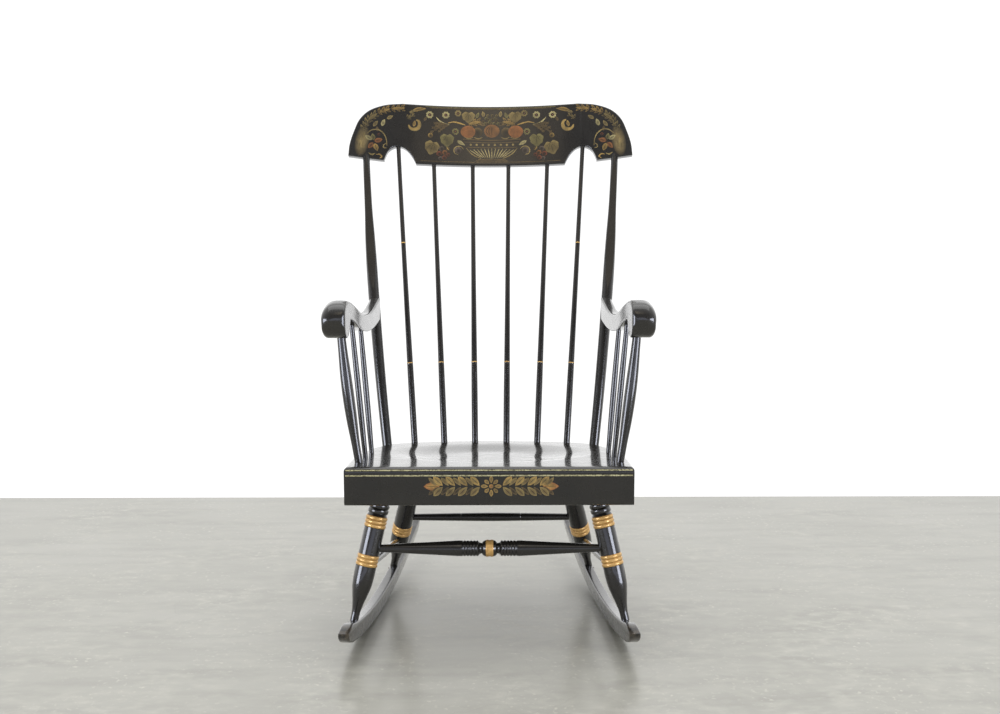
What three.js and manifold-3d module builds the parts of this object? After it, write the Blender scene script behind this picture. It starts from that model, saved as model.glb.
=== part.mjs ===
// A rocking chair with a rolled plank seat, a spindle back, a shaped crest and scrolled arms.
// Millimetres, +Z up, +X to the sitter's left, the sitter faces -Y.
// The chair is laid out with the seat's front edge at y 0 and the floor at z 0, then centred.
import * as THREE from 'three';
import { mergeVertices } from 'three/addons/utils/BufferGeometryUtils.js';
import Module from 'manifold-3d';

const wasm = await Module();
wasm.setup();

// Fits shared by every joint
const fit = 0.3;
const overrun = 30;
const weldGap = 0.01;
const degree = Math.PI / 180;

// Seat plank and its front rail
const seatWidth = 554;
const seatDepth = 448;
const seatHeight = 374;
const seatTilt = 5 * degree;
const plankThickness = 42;
const plankRound = 6;
const dishDepth = 9;
const dishWidth = 420;
const dishLength = 310;
const dishSetBack = 232;
const dishRise = 21;
const dishSides = 24;
const dishRings = 13;
const seatSamples = 36;
const seatBevelSteps = 2;
const railHeight = 75;
const railDepth = 36;
const railTopRound = 12;
const railFootRound = 8;
const seatOutlineShares = [[1, 0], [1, 0.3], [0.955, 0.56], [0.895, 0.745], [0.775, 0.882], [0.44, 0.968]];

// Rockers
const rockerRadius = 1180;
const rockerContact = 256.1;
const rockerNose = -62;
const rockerTail = 668;
const rockerHeight = 40;
const rockerTailHeight = 30;
const rockerThickness = 22;
const rockerEdgeRound = 4;
const rockerFacet = 40;
const rockerCant = 0.12;
const rockerEndSteps = 5;
const noseLift = 6;
const noseRise = 3;
const rockerPinRadius = 3;

// Legs, from the seat down
const legRadius = 20.5;
const legTopRadius = 15.5;
const legNeckRadius = 8.2;
const legSeatTenon = 26;
const legFootTenon = 24;
const legBeadRadius = 20.4;
const legGrooveRadius = 18.2;
const bandRadius = 21.6;
const bandGrooveRadius = 19;
const bandHeight = 23;
const bandBeads = 3;
// Places on the seat are shares of half its width and of its depth
const frontLegTopShare = [0.747, 0.1875];
const frontLegFootShare = [0.96, 0.078];
const rearLegTopShare = [0.583, 0.774];
const rearLegFootShare = [0.794, 0.96];
const upperBandDrop = 78;
const lowerBandDrop = 155;
const rearBandDrop = 168;
const legBeadDrop = 46;
const legBeadCount = 2;
const legBeadHeight = 10;
const legTaperShares = [[0.16, 1], [0.36, 0.93], [0.52, 0.76], [0.68, 0.56], [0.84, 0.42]];

// Stretchers
const stretcherTenon = 13;
const frontStretcherHeight = 198;
const frontStretcherEnd = 7.6;
const frontStretcherSwell = 15.5;
const frontStretcherNeck = 10.5;
const stretcherBall = 16.5;
const stretcherBallHalf = 15;
const stretcherNeckHalf = 20.3;
const stretcherGroovePitch = 6.35;
const stretcherGrooveCount = 5;
const stretcherGrooveDepth = 1.3;
const ballShares = [[0.75, 0.86], [0.4, 1]];
const stretcherSwellShares = [[0.3, 0.7], [0.5, 1], [0.7, 0.7]];
const frontSwellShare = 0.6;
const rearStretcherHeight = 174;
const rearStretcherEnd = 7.4;
const rearStretcherSwell = 9.6;
const sideStretcherFrontHeight = 160;
const sideStretcherRearHeight = 118;
const sideStretcherEnd = 6.8;
const sideStretcherSwell = 8.6;

// Crest rail, in its own raked plane
const crestHalfWidth = 321;
const crestHeight = 141.5;
const crestThickness = 19;
const crestBendRadius = 950;
const crestRake = 17 * degree;
const crestFootHeight = 945;
const crestFootBack = 608;
const crestEarRise = 7;
const crestSamples = 12;
const crestBendSteps = 13;
const notchOuterShare = 0.754;
const notchPeakShare = 0.651;
const notchInnerShare = 0.531;
const notchDepth = 39;
const notchInnerLineShares = [[0, 0], [0.22, 0.41], [0.4, 0.65], [0.58, 0.83], [0.8, 0.96], [1, 1]];
const notchOuterLineShares = [[0.26, 0.96], [0.52, 0.83], [0.72, 0.65], [0.84, 0.44], [0.93, 0.22], [1, 0]];
const notchSamples = 16;
const crestShoulderShares = [[0.992, 0.24], [0.965, 0.46], [0.925, 0.68], [0.86, 0.84], [0.75, 0.955],
  [0.63, 1]];
const crestPinRadius = 2;

// Back posts and spindles
const postFootShare = [0.816, 0.844];
const postHeadShare = 0.875;
const postBowOut = 5;
const postBowForward = 15;
const postFootRadius = 10.8;
const postBellyRadius = 12.3;
const postHeadRadius = 6.8;
const postSeatTenon = 28;
const postCrestTenon = 40;
const postProfileShares = [[0.06, 0.9], [0.3, 0.97], [0.5, 1], [0.62, 1], [0.72, 0.9], [0.82, 0.72]];
const postFlatShares = [[0.53, 1], [0.6, 0.72], [0.68, 0.62], [0.84, 0.6], [0.93, 1]];
const spindleFootShares = [[0.126, 0.933], [0.372, 0.926], [0.607, 0.904]];
const spindleHeadShares = [0.128, 0.405, 0.657];
const spindleFootRadius = 7.2;
const spindleHeadRadius = 4.9;
const spindleBow = 12;
const spindleSeatTenon = 24;
const spindleCrestTenon = 24;
const spindleProfileShares = [[0.18, 1], [0.34, 0.9], [0.62, 0.76], [0.85, 0.7]];

// Arms, from their front ends back to the posts
const armFront = 8;
const armBite = 3;
const armInnerShare = 0.978;
const armFrontWidth = 46;
const armBackWidth = 24.5;
const armTopFront = 689;
const armUnderFront = 617;
const armSamples = 14;
const armScrollSamples = 20;
const armTopShares = [[1, 0.548], [0.907, 0.437], [0.791, 0.32], [0.675, 0.275], [0.54, 0.33], [0.4, 0.53],
  [0.26, 0.785], [0.167, 0.93], [0.1, 0.995]];
const armScrollShares = [[0.045, 0.93], [0.01, 0.74], [0, 0.53], [0.012, 0.27], [0.035, 0.08], [0.07, 0],
  [0.102, 0.04], [0.126, 0.19], [0.14, 0.37]];
const armUnderShares = [[0.167, 0.43], [0.26, 0.32], [0.4, 0.04], [0.553, -0.16], [0.68, -0.24], [0.8, -0.24],
  [0.91, -0.19], [1, -0.13]];
const armOuterShares = [[0.17, 1], [0.32, 0.83], [0.47, 0.57], [0.62, 0.32], [0.75, 0.15], [0.88, 0.05]];
const armShoulderShares = [[-0.06, 0.93], [0.08, 0.975], [0.35, 1], [0.6, 0.985], [0.8, 0.925], [0.94, 0.81],
  [1, 0.64], [0.99, 0.42], [0.93, 0.16], [0.83, 0]];
const armPostFootShare = [0.919, 0.167];
const armPostHeadShare = [0.452, 0.18];
const armPostRadius = 8;
const armPostBelly = 11.6;
const armPostBow = 4;
const armSpindleFootShares = [[0.904, 0.326], [0.888, 0.509]];
const armSpindleHeadShares = [[0.29, 0.347], [0.31, 0.553]];
const armSpindleShares = [[0.35, 1], [0.6, 1]];
const armSpindleRadius = 5;
const armSpindleBelly = 6.2;
const armTenon = 16;
const armSeatTenon = 24;
const armPostProfileShares = [[0.14, 0.15], [0.3, 0.75], [0.45, 1], [0.6, 0.9], [0.8, 0.3]];
const armScrewRadius = 2.4;
const armScrewHead = 4.6;
const armScrewHeadHeight = 4;
const armScrewGrip = 34;
const armScrewSink = 3;

// Facets
const legSides = 13;
const spindleSides = 12;
const fineSides = 10;

// Finishes
const lacquer = new THREE.MeshStandardMaterial({ color: 0x17150f, roughness: 0.22, metalness: 0 });
const bandedLacquer = new THREE.MeshStandardMaterial({ color: 0x221c10, roughness: 0.25, metalness: 0 });
const steel = new THREE.MeshStandardMaterial({ color: 0x5c5a55, roughness: 0.45, metalness: 1 });
const beech = new THREE.MeshStandardMaterial({ color: 0xa98452, roughness: 0.7, metalness: 0 });

const chair = new THREE.Group();
const across = new THREE.Vector3(1, 0, 0);
const back = new THREE.Vector3(0, 1, 0);
const up = new THREE.Vector3(0, 0, 1);
// An outline drawn as (back, up) and extruded across the chair
const sideView = new THREE.Matrix4().makeBasis(back, up, across);
// An outline drawn as (across, up) and extruded towards the front
const frontView = new THREE.Matrix4().makeBasis(across, up, back.clone().negate());

// Geometry helpers
function weld(geometry) {
  const bare = geometry.clone();
  bare.deleteAttribute('normal');
  bare.deleteAttribute('uv');
  const merged = mergeVertices(bare, weldGap);
  const index = merged.index.array;
  const kept = [];
  for (let i = 0; i < index.length; i += 3) {
    const [a, b, c] = [index[i], index[i + 1], index[i + 2]];
    if (a !== b && b !== c && c !== a) kept.push(a, b, c);
  }
  merged.setIndex(kept);
  return merged;
}

function toSolid(geometry) {
  const mesh = weld(geometry);
  return new wasm.Manifold(new wasm.Mesh({
    numProp: 3,
    vertProperties: new Float32Array(mesh.attributes.position.array),
    triVerts: new Uint32Array(mesh.index.array),
  }));
}

function fromSolid(solid) {
  const mesh = solid.getMesh();
  const geometry = new THREE.BufferGeometry();
  geometry.setAttribute('position', new THREE.BufferAttribute(new Float32Array(mesh.vertProperties), 3));
  geometry.setIndex(new THREE.BufferAttribute(new Uint32Array(mesh.triVerts), 1));
  return geometry;
}

function intersection(...geometries) {
  return fromSolid(geometries.map(toSolid).reduce((a, b) => a.intersect(b)));
}

// Cutters are placed like any mesh, and are brought into the frame of the piece they cut.
function bore(piece, ...cutters) {
  piece.updateWorldMatrix(true, false);
  const inward = piece.matrixWorld.clone().invert();
  let solid = toSolid(piece.geometry);
  for (const cutter of cutters) {
    cutter.updateWorldMatrix(true, false);
    const placed = cutter.geometry.clone().applyMatrix4(inward.clone().multiply(cutter.matrixWorld));
    solid = solid.subtract(toSolid(placed));
  }
  piece.geometry = fromSolid(solid);
}

function add(name, geometry, material, parent = chair) {
  const mesh = new THREE.Mesh(geometry, material);
  mesh.name = name;
  parent.add(mesh);
  return mesh;
}

function shareTable(table, t) {
  if (t <= table[0][0]) return table[0][1];
  for (let i = 1; i < table.length; i++) {
    const [t0, v0] = table[i - 1];
    const [t1, v1] = table[i];
    if (t <= t1) return v0 + (v1 - v0) * (t - t0) / (t1 - t0);
  }
  return table[table.length - 1][1];
}

// A smooth outline through points, sampled evenly
function smooth(points, samples) {
  const knots = points.map(([a, b]) => new THREE.Vector3(a, b, 0));
  const curve = new THREE.CatmullRomCurve3(knots, false, 'centripetal');
  return curve.getPoints(samples).map((p) => new THREE.Vector2(p.x, p.y));
}

// A turned piece between two points, with rings of [distance from the foot, radius].
// bow bends it sideways at its middle; flat(t) planes its front, as a share of the radius.
function turning(from, to, rings, sides, bow = new THREE.Vector3(), flat = null) {
  const axis = to.clone().sub(from);
  const length = axis.length();
  const profile = [new THREE.Vector2(0, rings[0][0])];
  for (const [along, radius] of rings) profile.push(new THREE.Vector2(radius, along));
  profile.push(new THREE.Vector2(0, rings[rings.length - 1][0]));
  const geometry = weld(new THREE.LatheGeometry(profile, sides));
  const turn = new THREE.Quaternion().setFromUnitVectors(back, axis.clone().normalize());
  const localBow = bow.clone().applyQuaternion(turn.clone().invert());
  const front = back.clone().negate().applyQuaternion(turn.clone().invert()).setY(0).normalize();
  const point = new THREE.Vector3();
  const position = geometry.attributes.position;
  for (let i = 0; i < position.count; i++) {
    point.fromBufferAttribute(position, i);
    const t = point.y / length;
    if (flat) {
      const radius = Math.hypot(point.x, point.z);
      const reach = point.x * front.x + point.z * front.z;
      const limit = radius * flat(t);
      if (reach > limit) point.addScaledVector(front, limit - reach);
    }
    point.addScaledVector(localBow, 4 * t * (1 - t));
    position.setXYZ(i, point.x, point.y, point.z);
  }
  const mesh = new THREE.Mesh(geometry);
  mesh.position.copy(from);
  mesh.quaternion.copy(turn);
  return mesh;
}

// The sockets that a turned piece's two ends need, bent with it
function sockets(from, to, footRadius, headRadius, footDepth, headDepth, sides, bow) {
  const length = from.distanceTo(to);
  const reach = 2 * overrun;
  return {
    foot: turning(from, to, [[-fit, footRadius + fit], [footDepth, footRadius + fit],
      [footDepth + reach, footRadius + fit]], sides, bow),
    head: turning(from, to, [[length - headDepth - reach, headRadius + fit],
      [length - headDepth, headRadius + fit], [length + fit, headRadius + fit]], sides, bow),
  };
}

// Runs a straight piece past the two surfaces it enters
function lengthened(a, b, before, after) {
  const direction = b.clone().sub(a).normalize();
  return [a.clone().addScaledVector(direction, -before), b.clone().addScaledVector(direction, after)];
}

const seatSlope = Math.tan(seatTilt);
const seatTopAt = (y) => seatHeight - y * seatSlope;
const seatUnderAt = (y) => seatTopAt(y) - plankThickness / Math.cos(seatTilt);
const rockerUnderAt = (y) => rockerRadius - Math.sqrt(rockerRadius ** 2 - (y - rockerContact) ** 2);
const rockerTopAt = (y) => rockerUnderAt(y) + rockerHeight;
const halfSeat = seatWidth / 2;

// A place on the seat, or below it, from its shares
function placeAt(side, [acrossShare, backShare], heightAt) {
  const y = backShare * seatDepth;
  return new THREE.Vector3(side * acrossShare * halfSeat, y, heightAt(y));
}

// Seat plank: a D-shaped board, dished for the sitter, in a frame tilted about its front edge
const seatFrame = new THREE.Group();
seatFrame.position.z = seatHeight;
seatFrame.rotation.x = -seatTilt;
chair.add(seatFrame);

function seatPlank() {
  const right = seatOutlineShares.map(([w, d]) => [halfSeat * w, seatDepth * d]);
  const left = right.map(([x, y]) => [-x, y]).reverse();
  const outline = smooth([...right, [0, seatDepth], ...left], seatSamples);
  for (const point of outline) point.x = Math.max(-halfSeat, Math.min(halfSeat, point.x));
  const depth = plankThickness - 2 * plankRound;
  const board = new THREE.ExtrudeGeometry(new THREE.Shape(outline), {
    depth, bevelThickness: plankRound, bevelSize: plankRound, bevelOffset: -plankRound,
    bevelSegments: seatBevelSteps,
  });
  board.translate(0, 0, -plankThickness + plankRound);
  const plank = add('seat_plank', board, lacquer, seatFrame);

  const front = new THREE.Mesh(new THREE.BoxGeometry(seatWidth + overrun, railDepth + fit + overrun,
    plankThickness + overrun));
  front.position.set(0, (railDepth + fit - overrun) / 2, -plankThickness / 2);
  const dishHigh = dishDepth + dishRise;
  const spread = Math.sqrt(1 - (dishRise / dishHigh) ** 2);
  const dish = new THREE.Mesh(new THREE.SphereGeometry(1, dishSides, dishRings));
  dish.geometry.rotateX(Math.PI / 2);
  dish.scale.set(dishWidth / 2 / spread, dishLength / 2 / spread, dishHigh);
  dish.position.set(0, dishSetBack, dishRise);
  seatFrame.add(front, dish);
  bore(plank, front, dish);
  seatFrame.remove(front, dish);
  return plank;
}

// Front rail: the deep rolled front edge, glued across the plank, its face upright
function frontRail() {
  const lean = railHeight * seatSlope;
  const shape = new THREE.Shape();
  shape.moveTo(railDepth, 0);
  shape.lineTo(railDepth, -railHeight);
  shape.lineTo(lean + railFootRound, -railHeight);
  shape.quadraticCurveTo(lean, -railHeight, lean - railFootRound * seatSlope, -railHeight + railFootRound);
  shape.lineTo(railTopRound * seatSlope, -railTopRound);
  shape.quadraticCurveTo(0, 0, railTopRound, 0);
  const geometry = new THREE.ExtrudeGeometry(shape, { depth: seatWidth, bevelEnabled: false,
    curveSegments: rockerEndSteps });
  geometry.applyMatrix4(sideView).translate(-halfSeat, 0, 0);
  return add('front_rail', geometry, lacquer, seatFrame);
}

// Rocker: sawn from a board to a long arc, then set to the legs' splay by a shear
function rocker(side) {
  const under = [];
  const steps = Math.floor((rockerContact - rockerNose) / rockerFacet);
  const tailSteps = Math.floor((rockerTail - rockerContact) / rockerFacet);
  for (let i = -steps; i <= tailSteps - 1; i++) {
    const y = rockerContact + (i + 0.5) * rockerFacet;
    under.push(new THREE.Vector2(y, rockerUnderAt(y)));
  }
  const first = under[0];
  const last = under[under.length - 1];
  const shape = new THREE.Shape(under);
  const tailMid = rockerUnderAt(rockerTail) + rockerTailHeight / 2;
  shape.quadraticCurveTo(rockerTail, rockerUnderAt(rockerTail), rockerTail, tailMid);
  shape.quadraticCurveTo(rockerTail, tailMid + rockerTailHeight / 2, last.x, last.y + rockerTailHeight);
  for (let i = tailSteps - 2; i > -steps; i--) {
    const y = rockerContact + (i + 0.5) * rockerFacet;
    const t = (y - rockerContact) / (rockerTail - rockerContact);
    const height = rockerHeight - Math.max(0, t) ** 2 * (rockerHeight - rockerTailHeight);
    shape.lineTo(y, rockerUnderAt(y) + height);
  }
  const noseMid = rockerTopAt(rockerNose) - rockerHeight / 2 + noseRise;
  shape.quadraticCurveTo((first.x + rockerNose) / 2, rockerTopAt(first.x) + 2 * noseLift,
    rockerNose, noseMid);
  shape.quadraticCurveTo(rockerNose, rockerUnderAt(rockerNose) + noseRise, first.x, first.y);
  const geometry = new THREE.ExtrudeGeometry(shape, {
    depth: rockerThickness - 2 * rockerEdgeRound, curveSegments: rockerEndSteps, bevelSegments: 1,
    bevelThickness: rockerEdgeRound, bevelSize: rockerEdgeRound, bevelOffset: -rockerEdgeRound,
  });
  geometry.applyMatrix4(sideView).translate(-rockerThickness / 2 + rockerEdgeRound, 0, 0);
  // Its line passes through the feet of both legs
  const [near, far] = [frontLegFootShare, rearLegFootShare].map((share) => placeAt(1, share, rockerTopAt));
  for (const foot of [near, far]) foot.x += rockerCant * (foot.z - legFootTenon / 2);
  const toeIn = (near.x - far.x) / (far.y - near.y);
  const spread = near.x + toeIn * near.y;
  const splay = new THREE.Matrix4().set(
    1, -side * toeIn, -side * rockerCant, side * spread,
    0, 1, 0, 0,
    0, 0, 1, 0,
    0, 0, 0, 1);
  geometry.applyMatrix4(splay);
  return add(side > 0 ? 'rocker_left' : 'rocker_right', geometry, lacquer);
}

// Beads side by side, each flat-topped, with a groove between
function beadRings(start, count, height, radius, groove) {
  const rings = [[start, groove]];
  for (let i = 0; i < count; i++) {
    const at = start + i * height;
    rings.push([at + height / 4, radius], [at + height - height / 4, radius], [at + height, groove]);
  }
  return rings;
}

function legRings(length, bands, beads) {
  const drop = (d) => length - legSeatTenon - d;
  const lowest = Math.max(...bands) + bandHeight / 2;
  const taper = drop(lowest) - legFootTenon;
  const rings = [[0, legNeckRadius], [legFootTenon, legNeckRadius]];
  for (const [t, r] of [...legTaperShares].reverse()) rings.push([drop(lowest + t * taper), legRadius * r]);
  for (const band of [...bands].sort((a, b) => b - a)) {
    const start = drop(band + bandHeight / 2);
    rings.push([start - fit, legRadius]);
    rings.push(...beadRings(start, bandBeads, bandHeight / bandBeads, bandRadius, bandGrooveRadius));
    rings.push([start + bandHeight + fit, legRadius]);
  }
  if (beads) {
    const start = drop(legBeadDrop + (beads - 1 / 2) * legBeadHeight);
    rings.push(...beadRings(start, beads, legBeadHeight, legBeadRadius, legGrooveRadius));
  }
  rings.push([drop(legBeadDrop - legBeadHeight), legRadius]);
  rings.push([drop(legBeadHeight), legTopRadius], [length, legTopRadius]);
  return rings;
}

function leg(name, side, topShare, footShare, bands, beads) {
  const head = placeAt(side, topShare, seatUnderAt);
  const base = placeAt(side, footShare, rockerTopAt);
  const [from, to] = lengthened(base, head, legFootTenon, legSeatTenon);
  const mesh = turning(from, to, legRings(from.distanceTo(to), bands, beads), legSides);
  mesh.name = name;
  mesh.material = bandedLacquer;
  chair.add(mesh);
  return { mesh, from, to, ...sockets(from, to, legNeckRadius, legTopRadius, legFootTenon, legSeatTenon,
    legSides) };
}

function onAxis(piece, height) {
  return piece.from.clone().lerp(piece.to, (height - piece.from.z) / (piece.to.z - piece.from.z));
}

// A stretcher runs between two legs' centre lines and stops inside each
function stretcher(name, a, b, rings, endRadius) {
  const inset = legRadius - stretcherTenon;
  const [from, to] = lengthened(a, b, -inset, -inset);
  const length = from.distanceTo(to);
  const mesh = turning(from, to, rings(length), spindleSides);
  mesh.name = name;
  mesh.material = lacquer;
  chair.add(mesh);
  return { mesh, ...sockets(from, to, endRadius, endRadius, stretcherTenon, stretcherTenon, spindleSides) };
}

function plainStretcherRings(end, swell) {
  return (length) => [[0, end], [stretcherTenon, end],
    ...stretcherSwellShares.map(([t, r]) => [t * length, end + r * (swell - end)]),
    [length - stretcherTenon, end], [length, end]];
}

function frontStretcherRings(length) {
  const mid = length / 2;
  const half = [[mid, frontStretcherEnd], [mid - stretcherTenon, frontStretcherEnd],
    [mid * frontSwellShare, (frontStretcherEnd + frontStretcherSwell) / 2]];
  const grooved = stretcherNeckHalf + stretcherGroovePitch * stretcherGrooveCount;
  half.push([grooved + 2 * stretcherGroovePitch, frontStretcherSwell]);
  for (let i = stretcherGrooveCount; i > 0; i--) {
    const at = stretcherNeckHalf + stretcherGroovePitch * i;
    half.push([at + stretcherGroovePitch / 3, frontStretcherSwell],
      [at, frontStretcherSwell - stretcherGrooveDepth], [at - stretcherGroovePitch / 3, frontStretcherSwell]);
  }
  half.push([stretcherNeckHalf, frontStretcherNeck], [stretcherBallHalf, frontStretcherNeck]);
  for (const [d, r] of ballShares) half.push([stretcherBallHalf * d, stretcherBall * r]);
  const near = half.map(([d, r]) => [mid - d, r]);
  const far = half.map(([d, r]) => [mid + d, r]).reverse();
  return [...near, ...far];
}

// Crest rail: a sawn outline, bent in plan and leaning back
const crestFrame = new THREE.Group();
crestFrame.position.set(0, crestFootBack, crestFootHeight);
crestFrame.rotation.x = -crestRake;
chair.add(crestFrame);

// How far the bend brings the board forward, at a distance from its middle
const bendAt = (x) => crestBendRadius - Math.sqrt(crestBendRadius ** 2 - x ** 2);

function crestPoint(x, rise) {
  crestFrame.updateWorldMatrix(true, false);
  return new THREE.Vector3(x, -bendAt(x), rise).applyMatrix4(crestFrame.matrixWorld);
}

function crestRail() {
  const shoulder = crestShoulderShares.map(([w, h]) => [crestHalfWidth * w, crestHeight * h]);
  const ear = smooth([[crestHalfWidth, crestEarRise], ...shoulder], crestSamples);
  const spot = (from, to, low) => ([w, h]) =>
    [crestHalfWidth * (from + w * (to - from)), low + h * (notchDepth - low)];
  const notch = smooth([...notchInnerLineShares.map(spot(notchInnerShare, notchPeakShare, 0)),
    ...notchOuterLineShares.map(spot(notchPeakShare, notchOuterShare, crestEarRise / 2))], notchSamples);
  const half = [...notch, ...ear];
  const mirrored = half.map((p) => new THREE.Vector2(-p.x, p.y)).reverse();
  const board = new THREE.ExtrudeGeometry(new THREE.Shape([...half, ...mirrored]),
    { depth: crestThickness + 4 * overrun, bevelEnabled: false });
  board.applyMatrix4(frontView).translate(0, crestThickness / 2 + overrun, 0);

  const bend = new THREE.Shape();
  const span = Math.asin((crestHalfWidth + overrun) / crestBendRadius);
  const outer = crestBendRadius + crestThickness / 2;
  const inner = crestBendRadius - crestThickness / 2;
  bend.absarc(0, -crestBendRadius, outer, Math.PI / 2 - span, Math.PI / 2 + span, false);
  bend.absarc(0, -crestBendRadius, inner, Math.PI / 2 + span, Math.PI / 2 - span, true);
  const slab = new THREE.ExtrudeGeometry(bend, { depth: crestHeight + 2 * overrun, bevelEnabled: false,
    curveSegments: crestBendSteps });
  slab.translate(0, 0, -overrun);
  return add('crest_rail', intersection(board, slab), lacquer, crestFrame);
}

function roundPiece(name, from, to, rings, sides, ends, bow, flat, material = lacquer) {
  const mesh = turning(from, to, rings, sides, bow, flat);
  mesh.name = name;
  mesh.material = material;
  chair.add(mesh);
  return { mesh, from, to, bow, rings, ...sockets(from, to, ...ends, sides, bow) };
}

// Back post: set in the seat, planed flat in front above the arm, held in the crest's ear
function backPost(side) {
  const foot = placeAt(side, postFootShare, seatTopAt);
  const head = crestPoint(side * postHeadShare * crestHalfWidth, crestEarRise);
  const [from, to] = lengthened(foot, head, postSeatTenon, postCrestTenon);
  const length = from.distanceTo(to);
  const clear = length - postSeatTenon - postCrestTenon;
  const rings = [[0, postFootRadius], [postSeatTenon, postFootRadius]];
  for (const [t, r] of postProfileShares) rings.push([postSeatTenon + t * clear, postBellyRadius * r]);
  rings.push([length - postCrestTenon, postHeadRadius], [length, postHeadRadius]);
  const bow = new THREE.Vector3(side * postBowOut, -postBowForward, 0);
  return roundPiece(side > 0 ? 'back_post_left' : 'back_post_right', from, to, rings, legSides,
    [postFootRadius, postHeadRadius, postSeatTenon, postCrestTenon], bow,
    (t) => shareTable(postFlatShares, t));
}

function backSpindle(side, i) {
  const foot = placeAt(side, spindleFootShares[i], seatTopAt);
  const rise = i === spindleFootShares.length - 1 ? notchDepth : 0;
  const head = crestPoint(side * spindleHeadShares[i] * crestHalfWidth, rise);
  const [from, to] = lengthened(foot, head, spindleSeatTenon, spindleCrestTenon);
  const length = from.distanceTo(to);
  const clear = length - spindleSeatTenon - spindleCrestTenon;
  const rings = [[0, spindleFootRadius], [spindleSeatTenon, spindleFootRadius]];
  for (const [t, r] of spindleProfileShares) {
    rings.push([spindleSeatTenon + t * clear, spindleFootRadius * r]);
  }
  rings.push([length - spindleCrestTenon, spindleHeadRadius], [length, spindleHeadRadius]);
  const place = ['inner', 'middle', 'outer'][i];
  return roundPiece(`back_spindle_${place}_${side > 0 ? 'left' : 'right'}`, from, to, rings, spindleSides,
    [spindleFootRadius, spindleHeadRadius, spindleSeatTenon, spindleCrestTenon],
    new THREE.Vector3(0, -spindleBow, 0));
}

// The centre of a bowed piece at a height
function centreAt(piece, height) {
  const t = (height - piece.from.z) / (piece.to.z - piece.from.z);
  return piece.from.clone().lerp(piece.to, t).addScaledVector(piece.bow, 4 * t * (1 - t));
}

// The lines an arm is sawn to, from its front to the post it butts against
function armLines(post) {
  const rise = (h) => armUnderFront + h * (armTopFront - armUnderFront);
  const top = rise(armTopShares[0][1]);
  const under = rise(armUnderShares[armUnderShares.length - 1][1]);
  const endAt = (z) => centreAt(post, z).y - postBellyRadius + armBite;
  const end = centreAt(post, (top + under) / 2);
  const length = endAt(end.z) - armFront;
  const innerFront = armInnerShare * halfSeat;
  const innerBack = Math.abs(end.x) - armBackWidth / 2;
  const outerBack = innerBack + armBackWidth;
  const back = (t) => armFront + t * length;
  const inner = (t) => innerFront + t * (innerBack - innerFront);
  const outer = (w) => outerBack + w * (innerFront + armFrontWidth - outerBack);
  return { rise, top, under, endAt, end, back, inner, outer };
}

// Arm: bandsawn from three sides, the way the blank is cut: side view, plan and front view
function arm(side, lines) {
  const { rise, back: backAt, inner, outer } = lines;
  const place = ([t, h]) => [backAt(t), rise(h)];
  const topEnd = [lines.endAt(lines.top), lines.top];
  const underEnd = [lines.endAt(lines.under), lines.under];
  const top = smooth([topEnd, ...armTopShares.slice(1).map(place)], armSamples);
  const scroll = smooth([...armTopShares.slice(-1), ...armScrollShares].map(place), armScrollSamples);
  const under = smooth([...[...armScrollShares.slice(-1), ...armUnderShares.slice(0, -1)].map(place),
    underEnd], armSamples);
  const profile = new THREE.Shape([...top, ...scroll.slice(1), ...under.slice(1)]);
  const sideBlank = new THREE.ExtrudeGeometry(profile, { depth: seatWidth, bevelEnabled: false });
  sideBlank.applyMatrix4(sideView);

  const ahead = armFront - overrun;
  const behind = topEnd[0] + overrun;
  const outerLine = smooth([[outer(1), ahead], ...armOuterShares.map(([t, w]) => [outer(w), backAt(t)]),
    [outer(0), behind]], armSamples);
  const plan = new THREE.Shape([...outerLine, new THREE.Vector2(inner(1), behind),
    new THREE.Vector2(inner(1), backAt(1)), new THREE.Vector2(inner(0), armFront),
    new THREE.Vector2(inner(0), ahead)]);
  const planBlank = new THREE.ExtrudeGeometry(plan, { depth: armTopFront, bevelEnabled: false });
  planBlank.translate(0, 0, armUnderFront / 2);

  const shoulder = smooth(armShoulderShares.map(([w, h]) => [inner(0) + w * armFrontWidth, rise(h)]),
    armSamples);
  const near = inner(1) - overrun;
  const below = armUnderFront - overrun;
  const right = outer(0) + armBackWidth;
  const front = new THREE.Shape([new THREE.Vector2(near, shoulder[0].y), ...shoulder,
    ...[[right, armUnderFront], [right, below], [near, below]].map(([x, z]) => new THREE.Vector2(x, z))]);
  const frontBlank = new THREE.ExtrudeGeometry(front, { depth: behind + overrun, bevelEnabled: false });
  frontBlank.applyMatrix4(frontView).translate(0, behind, 0);
  const solid = intersection(sideBlank, planBlank, frontBlank);
  if (side > 0) return add('arm_left', solid, lacquer);
  const mirror = solid.scale(-1, 1, 1);
  const index = mirror.index.array;
  for (let i = 0; i < index.length; i += 3) [index[i], index[i + 1]] = [index[i + 1], index[i]];
  return add('arm_right', mirror, lacquer);
}

// A place on the arm's underside: a share of its width there, and of its length
function underArm(side, [widthShare, lengthShare], lines) {
  const inner = lines.inner(lengthShare);
  const width = lines.outer(shareTable(armOuterShares, lengthShare)) - inner;
  return new THREE.Vector3(side * (inner + widthShare * width), lines.back(lengthShare),
    lines.rise(shareTable(armUnderShares, lengthShare)));
}

function armPost(side, lines) {
  const foot = placeAt(side, armPostFootShare, seatTopAt);
  const [from, to] = lengthened(foot, underArm(side, armPostHeadShare, lines), armSeatTenon, armTenon);
  const length = from.distanceTo(to);
  const clear = length - armSeatTenon - armTenon;
  const rings = [[0, armPostRadius], [armSeatTenon, armPostRadius]];
  for (const [t, r] of armPostProfileShares) {
    rings.push([armSeatTenon + t * clear, armPostRadius + r * (armPostBelly - armPostRadius)]);
  }
  rings.push([length - armTenon, armPostRadius], [length, armPostRadius]);
  return roundPiece(side > 0 ? 'arm_post_left' : 'arm_post_right', from, to, rings, spindleSides,
    [armPostRadius, armPostRadius, armSeatTenon, armTenon], new THREE.Vector3(side * armPostBow, 0, 0));
}

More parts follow.
